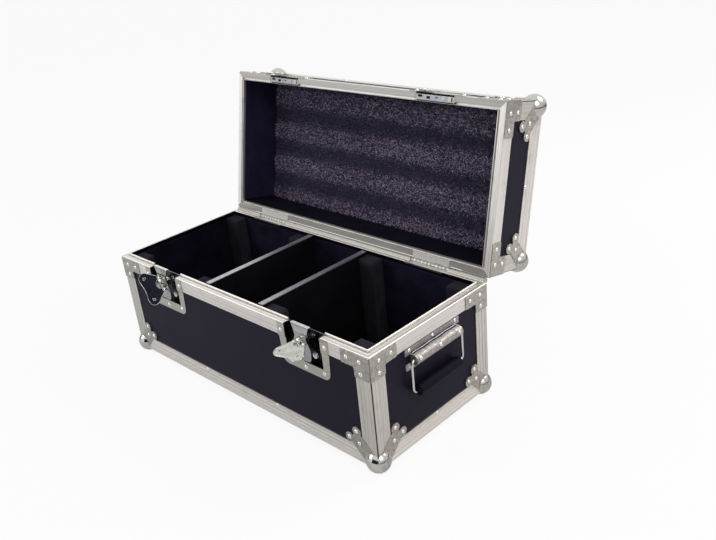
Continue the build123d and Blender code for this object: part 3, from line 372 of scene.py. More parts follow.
def laminate(name, s):
    # phenolic laminate on plywood: blue-black, evenly pebbled, a low gloss with faint scuffs
    material, tree, shader = newFinish(name, 0.0, s["roughness"], s["dark"], s["gloss"])
    place = shutPlace(tree, False)
    pebble = addNode(tree, "ShaderNodeTexNoise", {"Scale": 1000 / s["pebbleMm"], "Detail": 2.0},
                     {"Vector": place})
    scuff = addNode(tree, "ShaderNodeTexNoise",
                    {"Scale": 1000 / s["scuffMm"], "Detail": 5.0, "Roughness": 0.65}, {"Vector": place})
    scuffedAndShaded = addNode(tree, "ShaderNodeMapRange", fromTo(*s["scuffs"]), {0: scuff})
    colour = addNode(tree, "ShaderNodeMix", tones(s["dark"], s["pale"]), {0: scuffedAndShaded})
    spread = [s["roughness"] + by for by in s["roughBy"]]
    rough = addNode(tree, "ShaderNodeMapRange", fromTo(*s["grain"], *spread), {0: scuff})
    bump = addNode(tree, "ShaderNodeBump", {"Strength": 0.35, "Distance": 0.0003}, {"Height": pebble})
    joinTo(tree, shader, {"Base Color": colour.outputs[2], "Roughness": rough, "Normal": bump})
    return material


def closedFoam(name, s):
    # cut closed-cell foam: no gloss, a fine open grain, slightly paler where it is rubbed
    material, tree, shader = newFinish(name, 0.0, s["roughness"], s["dark"], s["gloss"])
    place = shutPlace(tree, False)
    cells = addNode(tree, "ShaderNodeTexVoronoi", {"Scale": 1000 / s["cellMm"]}, {"Vector": place})
    patches = addNode(tree, "ShaderNodeTexNoise", {"Scale": 1000 / s["patchMm"], "Detail": 4.0},
                      {"Vector": place})
    rubbed = addNode(tree, "ShaderNodeMapRange", fromTo(*s["rubbed"]), {0: patches})
    colour = addNode(tree, "ShaderNodeMix", tones(s["dark"], s["pale"]), {0: rubbed})
    bump = addNode(tree, "ShaderNodeBump", {"Strength": 0.5, "Distance": 0.0006}, {"Height": cells})
    joinTo(tree, shader, {"Base Color": colour.outputs[2], "Normal": bump})
    return material


board = {"pebbleMm": 1.6, "scuffMm": 60, "scuffs": (0.35, 0.75), "grain": (0.3, 0.7), "roughBy": (-0.06, 0.1)}
boardFinishes = {
    "panels": {**board, "dark": "#191624", "pale": "#201d2d", "roughness": 0.45, "gloss": 0.08},
    "dividers": {**board, "dark": "#09080d", "pale": "#0e0d13", "roughness": 0.5, "gloss": 0.2},
}
steel = {"spangleMm": 5, "clouds": (0.38, 0.66), "cloudShades": (1.0, 0.82), "grain": (0.3, 0.75),
         "roughShares": (0.75, 1.3), "dentMm": 14, "bump": 0.05}
steelFinishes = {
    "zinc": {**steel, "bright": "#b7b4ac", "dull": "#96958f", "roughness": 0.32, "bump": 0.12,
             "ball": "#c9c9c5", "ballRoughness": 0.09, "ballInset": 0.0105, "ballRadii": (0.0201, 0.0204)},
    "pocket": {**steel, "axis": 1, "start": -halfDepth, "spanMm": 11.5, "roughness": 0.24,
               "rimMm": 0.6, "fadeMm": 0.3, "rim": "#8a8b8e",
               # tones: painted shade on the pocket's walls and floor, painted highlights on the eyelet and
               # the boss tops
               "tones": ((0, "#bdbbb3"), (1.7, "#bdbbb3"), (1.9, "#1f2029"), (7.75, "#1f2029"),
                         (7.9, "#e4e4e0"), (8.15, "#cfcfcc"), (8.4, "#56575e"), (9.05, "#5c5d64"),
                         (9.15, "#ececea"), (9.4, "#c0c0be"), (9.6, "#2a2b33"), (11.5, "#20212a"))},
    "hook": {**steel, "axis": 2, "start": rimTop - 0.05, "spanMm": 61, "roughness": 0.17, "spangleMm": 9,
             # tones: painted shade lower down, at the joggle and under the lip; a painted highlight along the
             # top edge
             "tones": ((0, "#a5a8a6"), (45.4, "#b4b6b3"), (45.8, "#45474c"), (47.4, "#3a3c42"),
                       (47.9, "#c3c5c2"), (58.2, "#b3b6b4"), (58.6, "#55575c"), (59.3, "#5c5e62"),
                       (59.7, "#ececea"), (61, "#ececea"))},
    "leaf": {**steel, "bright": "#e2e0db", "dull": "#d6d3ce", "roughness": 0.48, "bump": 0.08},
    "plate": {**steel, "bright": "#b2afac", "dull": "#94918e", "roughness": 0.52, "spangleMm": 6,
              "dentMm": 12, "bump": 0.2},
    "striker": {**steel, "bright": "#9fa3ad", "dull": "#7f838e", "roughness": 0.34, "spangleMm": 6,
                "dentMm": 9, "bump": 0.1},
    "nickel": {**steel, "bright": "#cbccc6", "dull": "#b0b2ad", "roughness": 0.14, "spangleMm": 12,
               "dentMm": 9, "bump": 0.12},
    "wire": {**steel, "bright": "#cfcfcb", "dull": "#bdbdb9", "roughness": 0.13, "spangleMm": 16,
             "bump": 0.03},
    "strip": {**steel, "bright": "#c6c5cf", "dull": "#aeadb7", "roughness": 0.4, "spangleMm": 6},
    "rivet": {**steel, "bright": "#f4f4f1", "dull": "#e2e2de", "roughness": 0.16, "bump": 0.03},
    "rib": {**steel, "bright": "#9d9e9c", "dull": "#888988", "roughness": 0.42, "spangleMm": 4,
            "dentMm": 9},
    "oiled": {**steel, "bright": "#75777a", "dull": "#606265", "roughness": 0.38, "spangleMm": 4,
              "dentMm": 9},
}
# real cells of about 0.4 mm are too fine to show, so these are coarser
foam = {"roughness": 0.95, "gloss": 0.06, "cellMm": 1.6, "patchMm": 45, "rubbed": (0.4, 0.7)}
foamFinishes = {
    # lining, wall and lidEnd are one black foam; wall and lidEnd are paler copies of it, painted light where
    # those linings catch more light
    "lining": {**foam, "dark": "#100f1a", "pale": "#191826"},
    "wall": {**foam, "dark": "#181726", "pale": "#232236"},
    "lidEnd": {**foam, "dark": "#232138", "pale": "#2d2b45"},
    "block": {**foam, "dark": "#222229", "pale": "#2f2f36", "gloss": 0.1, "cellMm": 2.4},
    "pile": {**foam, "dark": "#353145", "pale": "#403b50", "gloss": 0.1, "cellMm": 2.0},
    "grip": {**foam, "dark": "#0f0d19", "pale": "#161423", "roughness": 0.6, "gloss": 0.08, "cellMm": 1.8},
}

for body, onLid in (("base", False), ("lid", True)):
    title = body.capitalize()
    for bars, along, way, across in (("long", "x", "Width", 1), ("end", "y", "Depth", 0)):
        name, rims = "drawnAluminium" + title + way, body + "_" + bars + "_rims"
        paint(body + "_" + bars + "_angles", drawnAluminium(name, along, onLid, edgeFinish))
        inside = None if onLid else min(abs(v.co[across]) for v in nodes[rims].data.vertices)
        paint(rims, drawnAluminium(name + "Rim", along, onLid, edgeFinish, shadedInsideFrom=inside))
    upright = drawnAluminium("drawnAluminium" + title + "Upright", "z", onLid, uprightFinish, seamed=True)
    paint(body + "_corner_angles", upright)
    inset = steelFinishes["zinc"]["ballInset"]
    corners = platedSteel("zincPlatedCorners" + title, steelFinishes["zinc"], onLid,
                          lidTop - inset if onLid else underside + inset)
    paint((body + "_ball_corners", body + "_rim_braces"), corners)

nickelSteel = platedSteel("brightNickelPlatedSteel", steelFinishes["nickel"])
# the keepers carry the same painted shade and highlights, with a wider pale ledge
keeperFinish = {**steelFinishes["pocket"], "rimMm": 2.3, "rim": "#a5a49e"}
paint("_panel", laminate("phenolicLaminatePanels", boardFinishes["panels"]))
paint("_divider", laminate("phenolicLaminateDividers", boardFinishes["dividers"]))
paint("_handle_plate", platedSteel("dullPlatedHandles", steelFinishes["plate"]))
paint("_lid_leaf", platedSteel("zincPlatedLidLeaves", steelFinishes["leaf"]))
paint("_base_leaf", platedSteel("zincPlatedBaseLeaves", steelFinishes["leaf"],
                                shadedInsideFrom=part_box("base_rear_lining")[1].y))
paint("_latch_dish", shadeBandedSteel("zincDishesPaintedShade", steelFinishes["pocket"]))
paint("_keeper_dish", shadeBandedSteel("zincKeepersPaintedShade", keeperFinish, onLid=True))
paint("_latch_hook", shadeBandedSteel("nickelHooksPaintedShade", steelFinishes["hook"]))
paint(("_spindle", "_wing"), nickelSteel)
paint(("_bail", "hinge_pins"), platedSteel("polishedSteelWire", steelFinishes["wire"]))
paint("_grip", closedFoam("mouldedRubberGrip", foamFinishes["grip"]))
paint("divider_caps", platedSteel("satinDividerStrip", steelFinishes["strip"]))
print("finishes on the rigid pieces")


# Foam linings, pads and blocks: each CAD block again with rounded, slightly uneven faces
foamPieces = {
    "frontLiningFoam": {"node": "base_front_lining", "finish": "wall"},
    "rearLiningFoam": {"node": "base_rear_lining", "finish": "wall"},
    "endLiningFoam": {"node": "base_end_linings", "finish": "lining", "voxelMm": 2.2},
    "leftBayPad": {"node": "left_bay_pad", "finish": "lining"},
    "middleBayPad": {"node": "middle_bay_pad", "finish": "lining"},
    "rightBayPad": {"node": "right_bay_pad", "finish": "lining"},
    "cornerBlockFoam": {"node": "bay_corner_blocks", "finish": "block", "voxelMm": 3.6},
    "lidFrontLiningFoam": {"node": "lid_front_lining", "finish": "wall"},
    "lidRearLiningFoam": {"node": "lid_rear_lining", "finish": "lining"},
    "lidEndLiningFoam": {"node": "lid_end_linings", "finish": "lidEnd", "voxelMm": 2.2},
}
foamShape = {"voxelMm": 2.4, "smoothing": 3, "smoothBy": 0.5, "hollowMm": 0.4, "broadMm": 36,
             "closeMm": 9, "closeShare": 0.35}


def softCopy(name, node, s):
    build = mergedFacets(node)
    mesh = bpy.data.meshes.new(name)
    build.to_mesh(mesh)
    build.free()
    thing = newObject(name, mesh)
    remesh = thing.modifiers.new("soften", "REMESH")
    remesh.mode = "VOXEL"
    remesh.voxel_size = s["voxelMm"] / 1000
    rounded = thing.modifiers.new("round", "SMOOTH")
    rounded.factor, rounded.iterations = s["smoothBy"], s["smoothing"]
    settled(thing)
    mesh = thing.data
    pressed = []  # gentle hollows where the foam has been pressed, never outwards
    for vertex in mesh.vertices:
        broad = noise.noise(vertex.co * 1000 / s["broadMm"])
        close = noise.noise(vertex.co * 1000 / s["closeMm"])
        depth = max(0.5 + 0.5 * broad + s["closeShare"] * close, 0) * s["hollowMm"] / 1000
        pressed.append(vertex.co - vertex.normal * depth)
    for vertex, place in zip(mesh.vertices, pressed):
        vertex.co = place
    return thing


def finishFoam(thing, node, finish):
    body = "lid" if node.startswith("lid") else "base"
    for face in thing.data.polygons:
        face.use_smooth = True
    thing.data.materials.append(foams[finish])
    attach(thing, body)
    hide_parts(node)
    print("foam", thing.name, len(thing.data.polygons), "faces")


foamNames = {"lining": "blackLiningFoam", "wall": "blackWallFoamPaintedLit", "lidEnd": "blackLidEndFoamPaintedLit",
             "block": "charcoalBlockFoam", "pile": "pileBackingFoam"}
foams = {kind: closedFoam(name, foamFinishes[kind]) for kind, name in foamNames.items()}
for name, piece in foamPieces.items():
    thing = softCopy(name, piece["node"], {**foamShape, **piece})
    finishFoam(thing, piece["node"], piece["finish"])


# The lid's foam: one sheet with long soft waves across the width, and a short pile on its face
lidFoam = {"waveMm": 3.2, "pitchMm": 70, "crestMm": -22, "acrossMm": 4, "alongMm": 2.5,
           "edgeMm": 5, "edgeDropMm": 2.5, "unevenMm": 0.5, "unevenPerMetre": 60}


def wavySheet(name, node, s):
    corners = [lidBack @ v.co for v in nodes[node].data.vertices]
    low = Vector([min(c[i] for c in corners) for i in range(3)])
    high = Vector([max(c[i] for c in corners) for i in range(3)])
    columns = round((high.x - low.x) * 1000 / s["acrossMm"])
    rows = round((high.y - low.y) * 1000 / s["alongMm"])
    spots, faces = [], []
    for layer in (0, 1):
        for row in range(rows + 1):
            for column in range(columns + 1):
                x = low.x + (high.x - low.x) * column / columns
                y = low.y + (high.y - low.y) * row / rows
                z = high.z
                if layer == 0:
                    wave = 1 - math.cos(2 * math.pi * (y * 1000 - s["crestMm"]) / s["pitchMm"])
                    border = min(x - low.x, high.x - x, y - low.y, high.y - y) * 1000 / s["edgeMm"]
                    uneven = noise.noise(Vector((x, y, 0)) * s["unevenPerMetre"])
                    drop = s["edgeDropMm"] * (1 - min(border, 1)) ** 2 + s["unevenMm"] * uneven
                    z = low.z + (s["waveMm"] * wave / 2 + max(drop, 0)) / 1000
                spots.append(lidTurn @ Vector((x, y, z)))
    wide = columns + 1
    back = wide * (rows + 1)
    for row in range(rows):
        for column in range(columns):
            a = row * wide + column
            faces.append((a, a + wide, a + wide + 1, a + 1))
            faces.append((back + a, back + a + 1, back + a + wide + 1, back + a + wide))
    rim = list(range(columns)) + [r * wide + columns for r in range(rows)]
    rim += [rows * wide + c for c in range(columns, 0, -1)] + [r * wide for r in range(rows, 0, -1)]
    for index, a in enumerate(rim):
        b = rim[(index + 1) % len(rim)]
        faces.append((a, b, back + b, back + a))
    return drawnObject(name, spots, [], faces)


sheet = wavySheet("lidTopFoam", "lid_top_foam", lidFoam)
finishFoam(sheet, "lid_top_foam", "pile")

pile = {"perSquareMetre": 235000, "lengthMm": 5.2, "widthMm": 2.0, "lean": 1.1, "seed": 4,
        "sizes": (0.55, 1.2), "facing": 0.6, "shadeSeed": 11,
        "shades": ((0.0, "#484659"), (0.4, "#565168"), (0.65, "#776c89"), (0.85, "#9d90aa"),
                   (1.0, "#bfb1c7")),
        # the crest and right shares are painted light: paler on the waves' crests and to the right, painted
        # shade in the valleys
        "crestLightShare": 0.46, "crestLightTop": 0.35, "rightLightShare": 0.18, "rightLightMm": (-100, 250)}


def newTree(name, fields):
    # a tree with one named input for each field; gives back each input's identifier
    tree = bpy.data.node_groups.new(name, "GeometryNodeTree")
    for way in ("OUTPUT", "INPUT"):
        tree.interface.new_socket(name="Geometry", in_out=way, socket_type="NodeSocketGeometry")
    ids = {}
    for label, kind in fields.items():
        item = tree.interface.new_socket(name=label, in_out="INPUT", socket_type="NodeSocket" + kind)
        ids[label] = item.identifier
    return tree, ids, addNode(tree, "NodeGroupInput").outputs


def endTree(tree, geometry, finish):
    real = addNode(tree, "GeometryNodeRealizeInstances", None, {0: geometry})
    dressed = addNode(tree, "GeometryNodeSetMaterial", None, {"Geometry": real, "Material": finish})
    addNode(tree, "NodeGroupOutput", None, {0: dressed})


def runTree(thing, tree, ids, values):
    modifier = thing.modifiers.new(tree.name, "NODES")
    modifier.node_group = tree
    for label, value in values.items():
        modifier[ids[label]] = value
    return settled(thing)


def pileTree(s):
    tree, ids, given = newTree("pileTufts", {
        "tufts per square metre": "Float", "tuft length": "Float", "tuft radius": "Float", "lean": "Float",
        "seed": "Int", "open side": "Vector", "finish": "Material"})
    normal = addNode(tree, "GeometryNodeInputNormal")
    facing = addNode(tree, "ShaderNodeVectorMath", {"operation": "DOT_PRODUCT"},
                     {0: normal, 1: given["open side"]})
    front = addNode(tree, "FunctionNodeCompare", {"operation": "GREATER_THAN", 1: s["facing"]},
                    {0: facing.outputs["Value"]})
    scatter = addNode(tree, "GeometryNodeDistributePointsOnFaces", None, {
        "Mesh": given["Geometry"], "Selection": front, "Density": given["tufts per square metre"],
        "Seed": given["seed"]})
    anyWay = addNode(tree, "FunctionNodeRandomValue",
                     {"data_type": "FLOAT_VECTOR", 0: (-1, -1, -1), 1: (1, 1, 1)}, {"Seed": given["seed"]})
    leaned = addNode(tree, "ShaderNodeVectorMath", {"operation": "SCALE"},
                     {0: anyWay, "Scale": given["lean"]})
    aimed = addNode(tree, "ShaderNodeVectorMath", {"operation": "ADD"},
                    {0: leaned, 1: scatter.outputs["Normal"]})
    turned = addNode(tree, "FunctionNodeAlignRotationToVector", {"axis": "Z"}, {"Vector": aimed})
    tuft = addNode(tree, "GeometryNodeMeshCone", {"Vertices": 3, "Radius Top": 0.0},
                   {"Radius Bottom": given["tuft radius"], "Depth": given["tuft length"]})
    size = addNode(tree, "FunctionNodeRandomValue",
                   {"data_type": "FLOAT", 2: s["sizes"][0], 3: s["sizes"][1]}, {"Seed": given["seed"]})
    planted = addNode(tree, "GeometryNodeInstanceOnPoints", None, {
        "Points": scatter.outputs["Points"], "Instance": tuft.outputs["Mesh"], "Rotation": turned,
        "Scale": size.outputs[1]})
    shade = addNode(tree, "FunctionNodeRandomValue",
                    {"data_type": "FLOAT", 2: 0.0, 3: 1.0, "Seed": s["shadeSeed"]})
    stored = addNode(tree, "GeometryNodeStoreNamedAttribute",
                     {"data_type": "FLOAT", "domain": "INSTANCE", "Name": "tuftShade"},
                     {"Geometry": planted, "Value": shade.outputs[1]})
    endTree(tree, stored, given["finish"])
    return tree, ids


def tuftFinish(s, waves):
    # dyed synthetic pile: each tuft its own grey-violet; painted light makes it paler on the waves' crests
    # and to the right, and painted shade darker in the valleys; a tuft stands for many fibres, which are too
    # fine to show
    material, tree, shader = newFinish(
        "dyedPileTuftsPaintedLight", metallic=0.0, roughness=0.9, colour=s["shades"][2][1], gloss=0.15)
    shade = addNode(tree, "ShaderNodeAttribute", {"attribute_name": "tuftShade"})
    split = addNode(tree, "ShaderNodeSeparateXYZ", None, {0: shutPlace(tree, True)})
    turnPerMm = 2 * math.pi / waves["pitchMm"]
    phase = addNode(tree, "ShaderNodeMath",
                    {"operation": "MULTIPLY_ADD", 1: 1000 * turnPerMm, 2: -turnPerMm * waves["crestMm"]},
                    {0: split.outputs[1]})
    wave = addNode(tree, "ShaderNodeMath", {"operation": "COSINE"}, {0: phase})
    share, top = s["crestLightShare"], s["crestLightTop"]
    # painted light on the crests, painted shade in the valleys
    crestLight = addNode(tree, "ShaderNodeMapRange", fromTo(-1.0, top, -share, share * top), {0: wave})
    start, end = (mm / 1000 for mm in s["rightLightMm"])
    # painted light: paler towards the right
    right = addNode(tree, "ShaderNodeMapRange", fromTo(start, end, 0.0, s["rightLightShare"]), {0: split})
    level = addNode(tree, "ShaderNodeMath", {"operation": "ADD"}, {0: shade.outputs["Fac"], 1: crestLight})
    level = addNode(tree, "ShaderNodeMath", {"operation": "ADD"}, {0: level, 1: right})
    colours = addNode(tree, "ShaderNodeValToRGB", None, {0: level})
    stops = colours.color_ramp.elements
    stops[0].color, stops[1].color = srgb(s["shades"][0][1]), srgb(s["shades"][-1][1])
    for position, code in s["shades"][1:-1]:
        stops.new(position).color = srgb(code)
    joinTo(tree, shader, {"Base Color": colours})
    return material


tree, ids = pileTree(pile)
tufts = newObject("lidFoamPile", sheet.data.copy())
runTree(tufts, tree, ids, {
    "tufts per square metre": float(pile["perSquareMetre"]), "tuft length": pile["lengthMm"] / 1000,
    "tuft radius": pile["widthMm"] / 2000, "lean": pile["lean"], "seed": pile["seed"],
    "open side": tuple(lidTurn.to_3x3() @ Vector((0, 0, -1))), "finish": tuftFinish(pile, lidFoam)})
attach(tufts, "lid")
print("pile", len(tufts.data.polygons), "faces")


# The trim behind the rear rim: a bead round the hinge line on a leg riveted to the base
gapTrim = {"beadMm": 5.0, "legMm": 8.5, "legThickMm": 1.6, "legTopMm": 0.45, "endDegrees": 530, "steps": 18,
           "runs": ((-320, -245.3), (-163.7, 163.7), (245.3, 320))}


def rearTrim(s):
    bead, face = s["beadMm"] / 1000, halfDepth - hinge.y
    outer = face + s["legThickMm"] / 1000
    top, bottom = -s["legTopMm"] / 1000, -s["legMm"] / 1000
    profile = [(face, top), (face, bottom), (outer, bottom)]
    first = math.atan2(-math.sqrt(bead ** 2 - outer ** 2), outer) + 2 * math.pi
    last = math.radians(s["endDegrees"])
    for step in range(s["steps"] + 1):
        angle = first + (last - first) * step / s["steps"]
        profile.append((bead * math.cos(angle), bead * math.sin(angle)))
    spots, faces = [], []
    for start, end in s["runs"]:
        offset, count = len(spots), len(profile)
        spots += [(x / 1000, hinge.y + y, hinge.z + z) for x in (start, end) for y, z in profile]
        faces.append(tuple(offset + i for i in range(count))[::-1])
        faces.append(tuple(offset + count + i for i in range(count)))
        faces += ringFaces(offset, offset + count, count)
    finish = drawnAluminium("drawnAluminiumTrim", "x", False, trimFinish)
    trim = drawnObject("rearRimTrim", spots, [], faces, finish)
    build = bmesh.new()
    build.from_mesh(trim.data)
    bmesh.ops.recalc_face_normals(build, faces=build.faces)
    build.to_mesh(trim.data)
    build.free()
    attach(trim, "base")


rearTrim(gapTrim)
print("trim behind the rear rim")


# Small plates with rounded corners on the ledges of the keepers: striker, eye, dark plates of painted shade
# in the windows, and collar
# x from the keeper's middle and y from the front face, half sizes, corner and rise, in millimetres
keeperFittings = {
    "striker": [(2.5, 7.0, 22.5, 3.7, 1.2, 0.22)],
    "bright": [(18.5, 6.4, 2.8, 3.2, 2.2, 0.65), (30.5, 7.0, 3.4, 3.6, 1.6, 0.5),
               (37.8, 7.2, 1.2, 3.3, 1.0, 0.45)],
    # dark: plates of painted shade in the keepers' openings
    "dark": [(-31, 5.8, 4.8, 2.0, 1.9, 0.15), (-13.5, 7.4, 3.8, 2.2, 0.5, 0.34),
             (3.5, 6.6, 2.6, 0.8, 0.6, 0.34), (35.3, 7.4, 1.1, 3.4, 0.9, 0.3)],
}
keeperPlate = {"cornerSteps": 4, "ledgeMm": 0.3, "sunkMm": 0.3, "chamferOfRise": 0.4, "chamferOfCorner": 0.5}


def addPlate(spots, faces, place, s, halfX, halfY, corner, rise):
    # a chamfered plate standing on the plane of the matrix called place
    outline = []
    for sx, sy, start in ((1, 1, 0), (-1, 1, 90), (-1, -1, 180), (1, -1, 270)):
        for step in range(s["cornerSteps"] + 1):
            angle = math.radians(start + 90 * step / s["cornerSteps"])
            outline.append((sx * (halfX - corner), sy * (halfY - corner), math.cos(angle), math.sin(angle)))
    count, first = len(outline), len(spots)
    chamfer = min(rise * s["chamferOfRise"], corner * s["chamferOfCorner"])
    for level, inset in ((-s["sunkMm"], 0), (rise - chamfer, 0), (rise, chamfer)):
        for x, y, cx, cy in outline:
            spot = Vector((x + cx * (corner - inset), y + cy * (corner - inset), level))
            spots.append(place @ (spot / 1000))
    for ring in (first, first + count):
        faces += ringFaces(ring, ring + count, count)
    faces.append(tuple(range(first + count - 1, first - 1, -1)))
    faces.append(tuple(range(first + 2 * count, first + 3 * count)))


# dark steel as painted shade: the openings in the bright plates and the gaps beside the handles' springs
paintedShadeSteel = newFinish("darkSteelPaintedShade", metallic=1.0, roughness=0.5, colour="#17181c")[0]
strikerSteel = platedSteel("nickelStrikers", steelFinishes["striker"])
for kind, finish in (("striker", strikerSteel), ("bright", nickelSteel), ("dark", paintedShadeSteel)):
    spots, faces = [], []
    for side in ("left", "right"):
        low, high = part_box(side + "_keeper_dish")
        middle = (low.x + high.x) / 2
        for x, y, *sizes in keeperFittings[kind]:
            onLedge = (middle + x / 1000, -halfDepth + y / 1000, lidRim + keeperPlate["ledgeMm"] / 1000)
            place = lidTurn @ Matrix.Translation(onLedge) @ Matrix.Rotation(math.pi, 4, "X")
            addPlate(spots, faces, place, keeperPlate, *sizes)
    piece = drawnObject(kind + "KeeperPlates", spots, [], faces, finish)
    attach(piece, "lid")
    print(piece.name, len(faces), "faces")


# Round wires: the pressed edges of the wings, and the springs on the handles between two dark wires of
# painted shade
wingEdge = {"radiusMm": 0.45, "sharpDegrees": 60}
handleWires = {  # each wire's places across the plate and above it, in millimetres
    "outMm": 2.6, "riseMm": 8.5, "dropMm": 44, "halfMm": 52, "stepMm": 2, "swayMm": 0.5, "wavesMm": 35,
    "handleSprings": {"radiusMm": 1.2, "rows": ((0, 0.2),)},
    # these dark steel wires are painted shade beside the springs
    "handleShadeWires": {"radiusMm": 1.4, "rows": ((2.2, -0.9), (-2.2, -0.9))}}


def wireTree():
    tree, ids, given = newTree("roundWires", {"wire radius": "Float", "finish": "Material"})
    path = addNode(tree, "GeometryNodeMeshToCurve", None, {"Mesh": given["Geometry"]})
    ring = addNode(tree, "GeometryNodeCurvePrimitiveCircle", {"Resolution": 8},
                   {"Radius": given["wire radius"]})
    tube = addNode(tree, "GeometryNodeCurveToMesh", {"Fill Caps": True},
                   {"Curve": path, "Profile Curve": ring})
    smooth = addNode(tree, "GeometryNodeSetShadeSmooth", None, {0: tube})
    endTree(tree, smooth, given["finish"])
    return tree, ids


def wirePiece(name, body, spots, lines, radiusMm, finish):
    wires = drawnObject(name, spots, lines, [])
    runTree(wires, wiresTree, wiresIds, {"wire radius": radiusMm / 1000, "finish": finish})
    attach(wires, body)
    print(name, len(wires.data.polygons), "faces")


def sharpLines(node, angle):
    build = mergedFacets(node)
    build.verts.index_update()
    lines = [tuple(v.index for v in e.verts) for e in build.edges
             if len(e.link_faces) == 2 and e.calc_face_angle() > math.radians(angle)]
    spots = [v.co.copy() for v in build.verts]
    build.free()
    return spots, lines


def handleLines(rows, s):
    # one gently swaying chain of points for each row on each handle
    spots, lines = [], []
    for across, rise in rows:
        for sign in (-1, 1):
            for step in range(int(2 * s["halfMm"] / s["stepMm"]) + 1):
                y = -s["halfMm"] + step * s["stepMm"]
                sway = s["swayMm"] * math.sin(2 * math.pi * y / s["wavesMm"])
                if step:
                    lines.append((len(spots) - 1, len(spots)))
                spots.append((sign * (halfWidth + (s["outMm"] + across + sway) / 1000), y / 1000,
                              rimTop + (s["riseMm"] + rise - s["dropMm"]) / 1000))
    return spots, lines


wiresTree, wiresIds = wireTree()
for side in ("left", "right"):
    spots, lines = sharpLines(side + "_latch_wing", wingEdge["sharpDegrees"])
    wirePiece(side + "WingEdges", side + "_latch_wing", spots, lines, wingEdge["radiusMm"], nickelSteel)
for name, finish in (("handleSprings", strikerSteel), ("handleShadeWires", paintedShadeSteel)):
    wire = handleWires[name]
    spots, lines = handleLines(wire["rows"], handleWires)
    wirePiece(name, "base", spots, lines, wire["radiusMm"], finish)


# Heads and rings: one tree sets a dome on a collar at each point, turned to face its way
rivetHead = {"radiusMm": 3.5, "heightMm": 1.9, "collarShare": 1.12, "collarMm": 0.35}
screwHead = {"radiusMm": 1.7, "heightMm": 0.45, "collarShare": 1.12, "collarMm": 0.2}
ribRing = {"radiusMm": 3, "heightMm": 1, "collarShare": 1.45, "collarMm": 5.6,
           "pitchMm": 8, "perHinge": 10, "perKnuckle": 2}
rivetPlaces = {  # millimetres from the upright corner or the middle, and from the rim or the outer edge
    "brace": [(45, 13.4), (19, 13.4), (18, 33.7)],
    "leg": [(40.5, 56.5), (56.5, 40.5), (36, 36)],
    "dishRim": [(-49, 14), (49, 14)], "dishBoard": [(0, 65.5), (-41, 63), (41, 63)],
    "keeperBoard": [(0, 30), (-40, 30), (40, 30)],
    "handle": [(-55, 14), (0, 14), (55, 14), (-55, -14), (0, -14), (55, -14)],
    "handleNose": [(-47, 22), (0, 22), (47, 22)],
    "hingeLeaf": [(-30, 24), (-10, 24), (10, 24), (30, 24)],
    "longSpan": 97, "edge": 26,
    "boardIn": 0.3, "leafOut": 1.5, "noseOut": 8, "noseRadius": 8.3,  # the surfaces that carry them
    "braceBand": 55,  # the braces' rivets lie within this of the rim
}
trimScrew = {"places": (-139, 250, 260), "lean": (0, -0.35, 0.94)}


def headTree(name):
    tree, ids, given = newTree(name, {
        "dome radius": "Float", "dome height": "Float", "collar radius": "Float", "collar height": "Float",
        "finish": "Material"})
    facing = addNode(tree, "GeometryNodeInputNamedAttribute", {"data_type": "FLOAT_VECTOR", "Name": "facing"})
    turned = addNode(tree, "FunctionNodeAlignRotationToVector", {"axis": "Z"}, {"Vector": facing})
    ball = addNode(tree, "GeometryNodeMeshUVSphere", {"Segments": 14, "Rings": 8, "Radius": 1.0})
    shape = addNode(tree, "ShaderNodeCombineXYZ", None,
                    {"X": given["dome radius"], "Y": given["dome radius"], "Z": given["dome height"]})
    dome = addNode(tree, "GeometryNodeTransform", None, {"Geometry": ball, "Scale": shape})
    smooth = addNode(tree, "GeometryNodeSetShadeSmooth", None, {0: dome})
    collar = addNode(tree, "GeometryNodeMeshCylinder", {"Vertices": 20},
                     {"Radius": given["collar radius"], "Depth": given["collar height"]})
    both = addNode(tree, "GeometryNodeJoinGeometry", None, {0: collar.outputs["Mesh"]})
    joinTo(tree, both, {0: smooth})
    heads = addNode(tree, "GeometryNodeInstanceOnPoints", None,
                    {"Points": given["Geometry"], "Instance": both, "Rotation": turned})
    endTree(tree, heads, given["finish"])
    return tree, ids


def roundCorner(sx, sy, across, height):
    # the same rivet on both walls of an upright corner, each with the way that it faces
    return [((sx * (halfWidth - across), sy * (halfDepth + steelSheet), height), (0, sy, 0)),
            ((sx * (halfWidth + steelSheet), sy * (halfDepth - across), height), (sx, 0, 0))]


def baseRivets(p):
    spots = []
    for sx in (-1, 1):
        for sy in (-1, 1):
            for across, drop in p["brace"]:
                spots += roundCorner(sx, sy, across / 1000, rimTop - drop / 1000)
            for a, b in p["leg"]:
                spots += roundCorner(sx, sy, a / 1000, underside + b / 1000)
                below = (sx * (halfWidth - a / 1000), sy * (halfDepth - b / 1000), underside - steelSheet)
                spots.append((below, (0, 0, -1)))
        level = underside + p["edge"] / 1000
        for sy in (-1, 1):
            spots.append(((sx * p["longSpan"] / 1000, sy * halfDepth, level), (0, sy, 0)))
        spots.append(((sx * halfWidth, 0, level), (sx, 0, 0)))
    return spots


def lidRivets(spots, p):
    # the lid carries the base's pattern turned over, measured from its own rim and top
    shallower = lidHeight - (rimTop - underside)
    found = []
    for (x, y, z), normal in spots:
        z = rimTop + lidRim - z
        z += shallower if z > rimTop + p["braceBand"] / 1000 else 0
        found.append(((x, y, z), (normal[0], normal[1], -normal[2])))
    return found


def rowRivets(places, middle, y, level, way):
    # on a wall across the case, at these distances from the fitting's middle and from the level
    return [((middle + x / 1000, y, level + way * z / 1000), (0, math.copysign(1, y), 0)) for x, z in places]


